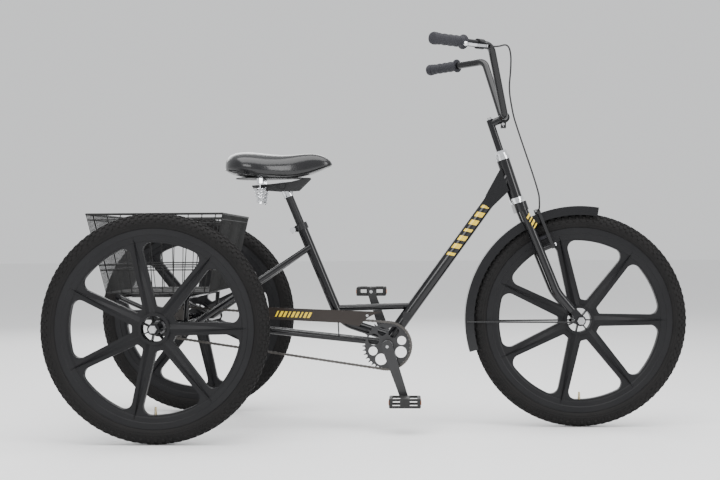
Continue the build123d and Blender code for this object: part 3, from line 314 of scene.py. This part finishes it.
# --- Yellow trim ----------------------------------------------------------------------
# Thin yellow film in slanted bars on the down tube, the fork's right blade and the
# chain guard, cut as plain stripes and pressed on under the lacquer.

yellow_film = finish("yellow_film", (0.78, 0.55, 0.01), (0.70, 0.47, 0.01), 0.28, scale=20,
                     coat=0.5, grain=0.02, grain_scale=500)


def main_line(points):
    """Middle and long direction of a cloud of points."""
    cloud = np.array(points)
    centre = cloud.mean(axis=0)
    way = Vector(np.linalg.svd(cloud - centre)[2][0])
    return Vector(centre), way


def tube_stripes(name, body, start, way, radius, stripes, side, slant, reach):
    """Slanted bars that hug a tube: each one is (distance along, length)."""
    bm = bmesh.new()
    way = way.normalized()
    out = (side - way * side.dot(way)).normalized()
    across = way.cross(out)
    for at, length in stripes:
        made = bmesh.ops.create_grid(bm, x_segments=2, y_segments=12, size=0.5)
        for vert in made["verts"]:
            angle = vert.co.y * 2 * reach
            run = at + vert.co.x * length + angle * radius * slant
            vert.co = (start + way * run
                       + (out * math.cos(angle) + across * math.sin(angle)) * (radius + 0.0003))
    bmesh.ops.recalc_face_normals(bm, faces=bm.faces)
    bmesh.ops.solidify(bm, geom=bm.faces[:], thickness=0.0002)
    return settle(name, bm, body, yellow_film)


tube_points = [v.co for v in nodes["down_tube"].data.vertices]
tube_centre, tube_way = main_line(tube_points)
if tube_way.z < 0:
    tube_way = -tube_way
bars = [(0.026 + 0.030 * k, 0.017 if k % 3 else 0.010) for k in range(7)]
tube_stripes("down_tube_stripes", "frame", tube_centre, tube_way, 0.019, bars,
             Vector((0, -1, 0)), 0.45, 0.62)

guard_black = finish("guard_black", (0.016, 0.012, 0.010), (0.026, 0.020, 0.017), 0.30, scale=9,
                     coat=0.25, grain=0.05, grain_scale=700, lines=0.15, specular=0.25)
coat_nodes(guard_black, "chain_guard")
guard_low, guard_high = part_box("chain_guard")
bm = bmesh.new()
for k in range(9):
    bar = bmesh.ops.create_cube(bm, size=1.0)["verts"]
    bmesh.ops.scale(bm, vec=(0.008 if k % 3 else 0.005, 0.0004, 0.017), verts=bar)
    for vert in bar:
        vert.co.x += vert.co.z * 0.5
    bmesh.ops.translate(bm, vec=(guard_low.x + 0.065 + 0.0125 * k, guard_low.y - 0.0001,
                                 guard_high.z - 0.0215 - 0.0006 * k), verts=bar)
settle("chain_guard_stripes", bm, "frame", yellow_film, smooth=False)

blade_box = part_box("fork_blades")
blade_points = [v.co for v in nodes["fork_blades"].data.vertices
                if v.co.y < 0 and v.co.z > blade_box[1].z - 0.20]
blade_centre, blade_way = main_line(blade_points)
if blade_way.z < 0:
    blade_way = -blade_way
fork_bars = [(0.048 + 0.012 * k, 0.007 if k % 2 else 0.004) for k in range(4)]
tube_stripes("fork_blade_stripes", "fork", Vector((blade_centre.x, -0.048, blade_centre.z)),
             blade_way, 0.014, fork_bars, Vector((0, -1, 0)), 0.5, 0.55)

# --- Wheels ---------------------------------------------------------------------------
# Seven-spoke wheels moulded in black glass-filled nylon, with blocky rubber tyres of a
# nominal 26 inch size. Each tyre is filled through a short brass valve.

moulded_nylon = finish("moulded_nylon", (0.006, 0.006, 0.007), (0.011, 0.011, 0.012), 0.42,
                       scale=12, grain=0.12, grain_scale=1400, lines=0.08, specular=0.2)
tyre_rubber = finish("tyre_rubber", (0.007, 0.007, 0.007), (0.016, 0.015, 0.015), 0.62,
                     scale=26, grain=0.22, grain_scale=1100, specular=0.12)
brass = finish("valve_brass", (0.42, 0.36, 0.24), (0.50, 0.42, 0.26), 0.35, metal=1.0, scale=60)
coat_nodes(moulded_nylon, "front_rim right_rim left_rim")

tread_blocks = 92
# Each row of blocks: angle round the section, width, length, turn along the tread.
tread_rows = [(0.20, 0.0075, 0.0125, 0.0), (0.62, 0.0080, 0.0120, 0.5),
              (1.03, 0.0090, 0.0085, 0.0), (1.38, 0.0060, 0.0065, 0.5)]


def whole(verts):
    edges = {edge for vert in verts for edge in vert.link_edges}
    faces = {face for vert in verts for face in vert.link_faces}
    return list(verts) + list(edges) + list(faces)


def block_tyre(name, node, body):
    """Rubber casing, turned about its axle, with rows of tread blocks round it."""
    low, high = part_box(node)
    outer, half = (high.z - low.z) / 2, (high.y - low.y) / 2
    casing = half - 0.0034
    flange = outer - 0.044
    bm = bmesh.new()
    bmesh.ops.create_circle(bm, segments=40, radius=casing)
    bmesh.ops.translate(bm, vec=(outer - half, 0, 0), verts=bm.verts)
    bmesh.ops.bisect_plane(bm, geom=bm.verts[:] + bm.edges[:], plane_co=(flange, 0, 0),
                           plane_no=(1, 0, 0), clear_inner=True)
    ends = [vert for vert in bm.verts if len(vert.link_edges) == 1]
    for vert in ends:
        vert.co = (flange - 0.003, math.copysign(0.0125, vert.co.y), 0)
    bm.edges.new(ends)
    bmesh.ops.spin(bm, geom=bm.verts[:] + bm.edges[:], cent=(0, 0, 0), axis=(0, 1, 0),
                   angle=2 * math.pi, steps=168, use_merge=True)
    for angle in (1.66, 1.92):
        for side in (-1, 1):
            ring = bmesh.ops.create_circle(bm, segments=8, radius=0.0009)["verts"]
            place = Matrix.Translation((outer - half, 0, 0)) @ Matrix.Rotation(side * angle, 4, "Z")
            bmesh.ops.transform(bm, matrix=place @ Matrix.Translation((casing, 0, 0)), verts=ring)
            bmesh.ops.spin(bm, geom=whole(ring), cent=(0, 0, 0), axis=(0, 1, 0),
                           angle=2 * math.pi, steps=120, use_merge=True)
    step = 2 * math.pi / tread_blocks
    for angle, width, length, shift in tread_rows:
        for side in (-1, 1):
            block = bmesh.ops.create_cube(bm, size=1.0)["verts"]
            bmesh.ops.scale(bm, vec=(0.0040, width, length), verts=block)
            for vert in block:
                if vert.co.x > 0:
                    vert.co.y *= 0.76
                    vert.co.z *= 0.80
            place = Matrix.Rotation((shift + side * 0.25) * step, 4, "Y")
            place = place @ Matrix.Translation((outer - half, 0, 0))
            place = place @ Matrix.Rotation(side * angle, 4, "Z")
            bmesh.ops.transform(bm, matrix=place @ Matrix.Translation((casing + 0.0010, 0, 0)),
                                verts=block)
            bmesh.ops.spin(bm, geom=whole(block), cent=(0, 0, 0), axis=(0, 1, 0),
                           angle=2 * math.pi - step, steps=tread_blocks - 1, use_duplicate=True)
    bmesh.ops.translate(bm, vec=(low + high) / 2, verts=bm.verts)
    piece = settle(name, bm, body, tyre_rubber)
    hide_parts(node)


def valve(name, node, body):
    """Threaded stem with a plastic cap, standing in from the rim towards the axle."""
    centre = middle(node)
    rim = (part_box(node)[1].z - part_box(node)[0].z) / 2 - 0.036
    bm = bmesh.new()
    foot = centre - Vector((0, 0, rim + 0.004))
    peg(bm, foot, foot + Vector((0, 0, 0.016)), 0.0042, sides=16)
    peg(bm, foot + Vector((0, 0, 0.016)), foot + Vector((0, 0, 0.026)), 0.0034, sides=12)
    peg(bm, foot + Vector((0, 0, 0.020)), foot + Vector((0, 0, 0.031)), 0.0040, sides=6,
        tip=0.0032)
    settle(name, bm, body, brass)


for side_name, body in (("front", "front_wheel"), ("right", "drive_axle"), ("left", "left_wheel")):
    block_tyre(side_name + "_block_tyre", side_name + "_tyre", body)
    valve(side_name + "_valve", side_name + "_rim", body)

# --- Chain and bright metal -----------------------------------------------------------
# Half-inch roller chain, oiled steel, closed on itself over both sprockets. Bearings,
# axles and sprockets are plain steel; the headset, springs and lever are plated.

oiled_steel = finish("oiled_steel", (0.060, 0.057, 0.054), (0.130, 0.122, 0.115), 0.34, metal=1.0,
                     scale=30, grain=0.05, grain_scale=1500, lines=0.10)
plain_steel = finish("plain_steel", (0.42, 0.42, 0.43), (0.56, 0.56, 0.57), 0.30, metal=1.0,
                     scale=22, grain=0.05, grain_scale=1200, lines=0.14)
bright_plate = finish("bright_plate", (0.74, 0.75, 0.77), (0.82, 0.83, 0.85), 0.12, metal=1.0,
                      scale=16, lines=0.10)
crank_black = finish("crank_black", (0.014, 0.014, 0.015), (0.024, 0.024, 0.025), 0.30, scale=16,
                     coat=0.3, grain=0.05, grain_scale=900, lines=0.16, specular=0.3)
coat_nodes(plain_steel, "axle_bearings left_axle left_axle_nut drive_axle drive_axle_nut "
           "front_axle front_axle_nuts front_hub_bearings crank_spindle pedal_axles "
           "bottom_bracket_cups")
coat_nodes(oiled_steel, "axle_sprocket")
coat_nodes(bright_plate, "headset_cups headset_races seat_clamp_knob saddle_clamp brake_lever")
coat_nodes(crank_black, "chainring right_crank_arm left_crank_arm")

chain_pitch = 0.0127
chain_links = 134
big_teeth, small_teeth = 36, 24


def pitch_circle(teeth):
    return chain_pitch / (2 * math.sin(math.pi / teeth))


big, small = pitch_circle(big_teeth), pitch_circle(small_teeth)
ring_centre, sprocket_centre = middle("chainring"), middle("axle_sprocket")
apart = sprocket_centre - ring_centre
apart.y = 0
tilt = math.asin((big - small) / apart.length)
first_angle = math.atan2(apart.z, apart.x) - math.pi / 2 + tilt
run_links = math.sqrt(apart.length ** 2 - (big - small) ** 2) / chain_pitch
back_links = (math.pi - 2 * tilt) / (2 * math.pi) * small_teeth


def round_point(centre, radius, angle):
    return Vector((centre.x + radius * math.cos(angle), ring_centre.y,
                   centre.z + radius * math.sin(angle)))


def roller_place(link):
    """Centre of a roller, counted from where the upper run leaves the chainring."""
    low_angle = first_angle + math.pi - 2 * tilt
    if link < run_links:
        start = round_point(ring_centre, big, first_angle)
        return start.lerp(round_point(sprocket_centre, small, first_angle), link / run_links)
    if link < run_links + back_links:
        turned = (link - run_links) * 2 * math.pi / small_teeth
        return round_point(sprocket_centre, small, first_angle + turned)
    if link < 2 * run_links + back_links:
        start = round_point(sprocket_centre, small, low_angle)
        share = (link - run_links - back_links) / run_links
        return start.lerp(round_point(ring_centre, big, low_angle), share)
    turned = (link - 2 * run_links - back_links) * 2 * math.pi / big_teeth
    return round_point(ring_centre, big, low_angle + turned)


def link_mesh(offset):
    """Two waisted side plates, that far from the chain's middle, and the front pin."""
    bm = bmesh.new()
    for side in (-1, 1):
        plate = bmesh.ops.create_circle(bm, cap_ends=True, segments=16, radius=0.0043)["verts"]
        bmesh.ops.rotate(bm, matrix=Matrix.Rotation(math.pi / 2, 3, "X"), verts=plate)
        for vert in plate:
            if abs(vert.co.x) > 1e-5:
                vert.co.x += math.copysign(chain_pitch / 2, vert.co.x)
            else:
                vert.co.z *= 0.68
        faces = [face for face in bm.faces if face.verts[0] in plate]
        grown = bmesh.ops.extrude_face_region(bm, geom=faces)["geom"]
        shift = [item for item in grown if isinstance(item, bmesh.types.BMVert)]
        bmesh.ops.translate(bm, vec=(0, 0.0010, 0), verts=shift)
        bmesh.ops.translate(bm, vec=(0, side * offset - 0.0005, 0), verts=plate + shift)
    pin_x = chain_pitch / 2
    peg(bm, (pin_x, -0.0050, 0), (pin_x, 0.0050, 0), 0.0019, sides=8)
    peg(bm, (pin_x, -0.0026, 0), (pin_x, 0.0026, 0), 0.0039, sides=12)
    mesh = bpy.data.meshes.new("link")
    bmesh.ops.recalc_face_normals(bm, faces=bm.faces)
    bm.to_mesh(mesh)
    bm.free()
    return mesh


narrow, wide = link_mesh(0.0031), link_mesh(0.0042)
bm = bmesh.new()
for link in range(chain_links):
    here, ahead = roller_place(link), roller_place((link + 1) % chain_links)
    way = (ahead - here).normalized()
    count = len(bm.verts)
    bm.from_mesh(narrow if link % 2 else wide)
    bm.verts.ensure_lookup_table()
    turn = Matrix.Rotation(-math.atan2(way.z, way.x), 4, "Y")
    bmesh.ops.transform(bm, matrix=Matrix.Translation((here + ahead) / 2) @ turn,
                        verts=bm.verts[count:])
chain = settle("roller_chain", bm, "frame", oiled_steel)
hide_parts("chain")

# --- Basket ---------------------------------------------------------------------------
# Open basket of welded wire, coated in black powder. Wires cross the floor both ways
# and run up the sides to a heavy rim, with a double hoop half-way up.

powder_black = finish("powder_black", (0.012, 0.012, 0.012), (0.022, 0.022, 0.022), 0.45,
                      scale=30, grain=0.25, grain_scale=2200, specular=0.2)
basket_points = [v.co for v in nodes["basket"].data.vertices]
basket_low, basket_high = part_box("basket")
floor_points = [p for p in basket_points if p.z < basket_low.z + 0.0005]
floor_x = (min(p.x for p in floor_points), max(p.x for p in floor_points))
floor_y = max(p.y for p in floor_points)


def basket_spot(u, w, rise):
    """A point of the basket's skin: u from rear to front, w from right to left."""
    rear = floor_x[0] + (basket_low.x - floor_x[0]) * rise + wire_inset
    front = floor_x[1] + (basket_high.x - floor_x[1]) * rise - wire_inset
    half = floor_y + (basket_high.y - floor_y) * rise - wire_inset
    z = basket_low.z + wire_inset + (basket_high.z - basket_low.z - 2 * wire_inset) * rise
    return (rear + (front - rear) * u, half * w, z)


wire_inset = 0.0032


def bent_wires(name, runs, radius, closed=False):
    """Round wires along straight runs, as one mesh."""
    line = bpy.data.curves.new(name, "CURVE")
    line.dimensions = "3D"
    line.bevel_depth = radius
    line.bevel_resolution = 2
    line.use_fill_caps = not closed
    for run in runs:
        wire = line.splines.new("POLY")
        wire.points.add(len(run) - 1)
        wire.use_cyclic_u = closed
        for point, place in zip(wire.points, run):
            point.co = (*place, 1)
    holder = bpy.data.objects.new(name + "_line", line)
    bpy.context.scene.collection.objects.link(holder)
    mesh = bpy.data.meshes.new_from_object(
        holder.evaluated_get(bpy.context.evaluated_depsgraph_get()))
    bm = bmesh.new()
    bm.from_mesh(mesh)
    bpy.data.objects.remove(holder)
    bpy.data.meshes.remove(mesh)
    return bm


def hoop(rise):
    return [basket_spot(u, w, rise) for u, w in ((0, -1), (1, -1), (1, 1), (0, 1))]


side_wires, end_wires = 10, 40
wire_radius, hoop_radius, rim_radius = 0.0014, 0.0018, 0.0032
hoop_rises = (0.0, 0.29, 0.355, 0.93)
cross_runs = []
for k in range(side_wires):
    u = (k + 0.5) / side_wires
    cross_runs.append([basket_spot(u, w, rise) for w, rise in ((-1, 1), (-1, 0), (1, 0), (1, 1))])
for k in range(end_wires + 1):
    w = -1 + 2 * k / end_wires
    cross_runs.append([basket_spot(u, w, rise) for u, rise in ((0, 1), (0, 0), (1, 0), (1, 1))])
wires = settle("basket_wires", bent_wires("basket_wires", cross_runs, wire_radius), "frame",
               powder_black)
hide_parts("basket")
settle("basket_hoops", bent_wires("basket_hoops", [hoop(rise) for rise in hoop_rises],
                                  hoop_radius, closed=True), "frame", powder_black)
settle("basket_rim", bent_wires("basket_rim", [hoop(1.0)], rim_radius, closed=True), "frame",
       powder_black)

# --- Saddle ---------------------------------------------------------------------------
# Wide sprung saddle: moulded foam on a steel pan under glossy black vinyl, edged with
# piping, carried at the rear on two plated cone springs.

glossy_vinyl = finish("glossy_vinyl", (0.004, 0.004, 0.005), (0.007, 0.007, 0.008), 0.24,
                      scale=18, coat=0.35, grain=0.10, grain_scale=900, cells=True, specular=0.35)
seat_low, seat_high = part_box("saddle_cushion")
pan_top = seat_low.z + 0.0004
# Stations from the rear to the nose: top, bottom and half width.
saddle_stations = [
    (0.000, 0.818, 0.806, 0.020), (0.0245, 0.842, 0.793, 0.062), (0.095, 0.855, 0.784, 0.098),
    (0.206, 0.8585, 0.7755, 0.121), (0.345, 0.854, 0.7695, 0.118), (0.500, 0.8465, 0.768, 0.088),
    (0.655, 0.848, 0.771, 0.055), (0.794, 0.8535, 0.783, 0.040), (0.905, 0.8465, 0.799, 0.032),
    (0.9755, 0.831, 0.811, 0.019), (1.000, 0.819, 0.815, 0.005)]


def saddle_at(share):
    shares = [s[0] for s in saddle_stations]
    return [float(np.interp(share, shares, [s[k] for s in saddle_stations])) for k in (1, 2, 3)]


bm = bmesh.new()
bmesh.ops.create_uvsphere(bm, u_segments=24, v_segments=10, radius=1.0)
bmesh.ops.rotate(bm, matrix=Matrix.Rotation(math.pi / 2, 3, "Y"), verts=bm.verts)
for vert in bm.verts:
    share = (1 + vert.co.x) / 2
    top, bottom, half = saddle_at(share)
    girth = math.hypot(vert.co.y, vert.co.z)
    side, rise = (vert.co.y / girth, vert.co.z / girth) if girth > 1e-5 else (0.0, 0.0)
    waist = bottom + 0.36 * (top - bottom)
    side = math.copysign(abs(side) ** 0.82, side)
    if rise >= 0:
        z = waist + (top - waist) * rise ** 0.92
    else:
        z = waist - (waist - bottom) * abs(rise) ** 0.6
        if abs(side) < 0.72:
            z = max(z, pan_top)
    vert.co = (seat_low.x + share * (seat_high.x - seat_low.x), side * half, z)
cushion = settle("saddle_cover", bm, "saddle", glossy_vinyl)
swell = cushion.modifiers.new("swell", "SUBSURF")
swell.levels = swell.render_levels = 3
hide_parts("saddle_cushion")

edge = []
for k in range(48):
    angle = 2 * math.pi * k / 48
    share = 0.5 + 0.485 * math.cos(angle)
    top, bottom, half = saddle_at(share)
    edge.append((seat_low.x + share * (seat_high.x - seat_low.x),
                 math.copysign(half * 0.93, math.sin(angle)) if abs(math.sin(angle)) > 0.01 else 0,
                 bottom + 0.10 * (top - bottom)))
settle("saddle_piping", bent_wires("saddle_piping", [edge], 0.0016, closed=True), "saddle",
       glossy_vinyl)

spring_low, spring_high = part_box("saddle_springs")
spring_x = (spring_low.x + spring_high.x) / 2
spring_y = 0.060
coil_turns, points_a_turn, coil_wire = 9, 20, 0.0016
coil_top_radius, coil_narrowing = 0.0185, 0.0105
coil_points = coil_turns * points_a_turn
bm = bmesh.new()
for side in (-1, 1):
    y = side * spring_y
    coil = []
    for k in range(coil_points):
        share = k / coil_points
        radius = coil_top_radius - coil_narrowing * share
        angle = 2 * math.pi * coil_turns * share
        coil.append((spring_x + radius * math.cos(angle), y + radius * math.sin(angle),
                     spring_high.z - 0.0295 - 0.0420 * share))
    wound = bent_wires("coil", [coil], coil_wire)
    mesh = bpy.data.meshes.new("coil")
    wound.to_mesh(mesh)
    wound.free()
    bm.from_mesh(mesh)
    peg(bm, (spring_x, y, spring_high.z), (spring_x, y, spring_high.z - 0.016), 0.0100, sides=6)
    peg(bm, (spring_x, y, spring_high.z), (spring_x, y, spring_low.z), 0.0030, sides=20)
    peg(bm, (spring_x, y, spring_low.z + 0.006), (spring_x, y, spring_low.z + 0.003), 0.0105)
    peg(bm, (spring_x, y, spring_low.z + 0.003), (spring_x, y, spring_low.z), 0.0060, sides=6)
springs = settle("cone_springs", bm, "saddle", bright_plate)
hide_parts("saddle_springs")

# --- Grips, pedals and small fittings -------------------------------------------------
# Ribbed rubber grips pushed on the bar's ends, resin pedals with amber reflectors, and
# the bolts that hold the stem, cranks, guard and brake.

grip_rubber = finish("grip_rubber", (0.022, 0.022, 0.026), (0.034, 0.034, 0.040), 0.58, scale=40,
                     grain=0.25, grain_scale=1200, cells=True, specular=0.2)
pedal_resin = finish("pedal_resin", (0.014, 0.014, 0.014), (0.024, 0.024, 0.024), 0.50, scale=30,
                     grain=0.18, grain_scale=1300, specular=0.25)
amber_lens = finish("amber_lens", (0.85, 0.24, 0.01), (0.70, 0.16, 0.01), 0.14, scale=60,
                    coat=0.9, grain=0.8, grain_scale=420, cells=True)
coat_nodes(pedal_resin, "right_pedal left_pedal")
coat_nodes(grip_rubber, "right_brake_pad left_brake_pad")


def grip(name, side):
    points = [v.co for v in nodes["grips"].data.vertices if v.co.y * side > 0]
    centre, way = main_line(points)
    if way.x > 0:
        way = -way
    runs = [(p - centre).dot(way) for p in points]
    start, end = centre + way * min(runs), centre + way * max(runs)
    length = (end - start).length
    bm = bmesh.new()
    profile = [(0.0, 0.0), (0.0205, 0.0), (0.0215, 0.0015), (0.0215, 0.0045), (0.0200, 0.0060)]
    ribs = 26
    for k in range(ribs * 2 + 1):
        run = 0.008 + (length - 0.028) * k / (ribs * 2)
        wave = 0.0007 * math.cos(2 * math.pi * (run - 0.008) / 0.0235)
        profile.append((0.0158 + wave + (0.0006 if k % 2 else 0.0), run))
    profile += [(0.0180, length - 0.0180), (0.0185, length - 0.0080), (0.0165, length - 0.0022),
                (0.0120, length - 0.0003), (0.0, length)]
    chain_verts = [bm.verts.new((radius, 0, run - length / 2)) for radius, run in profile]
    for a, b in zip(chain_verts, chain_verts[1:]):
        bm.edges.new((a, b))
    bmesh.ops.spin(bm, geom=bm.verts[:] + bm.edges[:], cent=(0, 0, 0), axis=(0, 0, 1),
                   angle=2 * math.pi, steps=40, use_merge=True)
    bmesh.ops.transform(bm, matrix=aimed(start, end), verts=bm.verts)
    return settle(name, bm, "handlebar", grip_rubber)


right_grip = grip("right_ribbed_grip", -1)
grip("left_ribbed_grip", 1)
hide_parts("grips")

for side_name in ("right", "left"):
    low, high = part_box(side_name + "_pedal")
    bm = bmesh.new()
    for x, way in ((low.x, -1), (high.x, 1)):
        lens_verts = bmesh.ops.create_cube(bm, size=1.0)["verts"]
        bmesh.ops.scale(bm, vec=(0.0030, 0.052, 0.0125), verts=lens_verts)
        bmesh.ops.translate(bm, vec=(x + way * 0.0003, (low.y + high.y) / 2,
                                     (low.z + high.z) / 2), verts=lens_verts)
    bmesh.ops.bevel(bm, geom=bm.edges[:], offset=0.0009, segments=2, profile=0.5,
                    affect="EDGES", material=-1)
    settle(side_name + "_pedal_reflectors", bm, side_name + "_pedal", amber_lens,
           smooth=False)

joints = {joint["name"]: joint for joint in frame["joints"]}
steer_foot, steer_up = Vector(joints["steer"]["pos_m"]), Vector(joints["steer"]["axis"])
bar_points = [v.co for v in nodes["handlebar"].data.vertices if abs(v.co.y) < 0.045]
clamp = sum(bar_points, Vector()) / len(bar_points)
stem_points = [v.co for v in nodes["stem"].data.vertices]
near_quill = [(p - steer_foot).dot(steer_up) for p in stem_points
              if ((p - steer_foot) - steer_up * (p - steer_foot).dot(steer_up)).length < 0.012]
quill_top = steer_foot + steer_up * max(near_quill)
bm = bmesh.new()
peg(bm, quill_top, quill_top + steer_up * 0.0015, 0.0090)
peg(bm, quill_top + steer_up * 0.0015, quill_top + steer_up * 0.0075, 0.0065, sides=6)
bolt_x, bolt_z = clamp.x - 0.002, clamp.z - 0.025
peg(bm, (bolt_x, -0.0185, bolt_z), (bolt_x, 0.0185, bolt_z), 0.0030)
peg(bm, (bolt_x, -0.0175, bolt_z), (bolt_x, -0.0120, bolt_z), 0.0052, sides=6)
peg(bm, (bolt_x, 0.0120, bolt_z), (bolt_x, 0.0170, bolt_z), 0.0055, sides=6)
settle("stem_bolts", bm, "handlebar", plain_steel)

bm = bmesh.new()
spindle = middle("crank_spindle")
crank_bolt_y = 0.0885
for side in (-1, 1):
    y = side * crank_bolt_y
    peg(bm, (spindle.x, y, spindle.z), (spindle.x, y + side * 0.0052, spindle.z), 0.0084)
    peg(bm, (spindle.x, y + side * 0.005, spindle.z), (spindle.x, y + side * 0.0062, spindle.z),
        0.0050, sides=6)
settle("crank_bolts", bm, "crank", plain_steel)

bm = bmesh.new()
for x, z in ((guard_low.x + 0.012, guard_high.z - 0.018), (guard_high.x - 0.053, guard_high.z - 0.028)):
    peg(bm, (x, guard_low.y - 0.0016, z), (x, guard_low.y + 0.0001, z), 0.0042, tip=0.0042)
settle("guard_screws", bm, "frame", plain_steel)

for side_name in ("right", "left"):
    joint = joints[side_name + "_brake_arm_swing"]
    pivot, out = Vector(joint["pos_m"]), Vector(joint["axis"])
    if out.x < 0:
        out = -out
    bm = bmesh.new()
    peg(bm, pivot + out * 0.0088, pivot + out * 0.0118, 0.0060)
    peg(bm, pivot + out * 0.0118, pivot + out * 0.0136, 0.0036, sides=6)
    settle(side_name + "_pivot_bolt", bm, "fork", bright_plate)

head = Vector(cable_route[-1])
bm = bmesh.new()
peg(bm, head + Vector((0, 0.0002, 0)), (head.x, -head.y - 0.004, head.z), 0.0008, sides=10)
peg(bm, (head.x, -head.y - 0.0130, head.z), (head.x, -head.y - 0.0020, head.z), 0.0035, sides=6)
settle("inner_brake_wire", bm, "right_brake_arm", plain_steel)

tip_points = [v.co for v in nodes["brake_lever"].data.vertices]
lever_centre, lever_way = main_line(tip_points)
if lever_way.x > 0:
    lever_way = -lever_way
far = max((p - lever_centre).dot(lever_way) for p in tip_points)
bm = bmesh.new()
bmesh.ops.create_uvsphere(bm, u_segments=28, v_segments=16, radius=0.0068)
end_points = [p for p in tip_points if (p - lever_centre).dot(lever_way) > far - 0.010]
ball = sum(end_points, Vector()) / len(end_points)
bmesh.ops.translate(bm, vec=ball, verts=bm.verts)
settle("lever_ball", bm, "brake_lever", bright_plate)
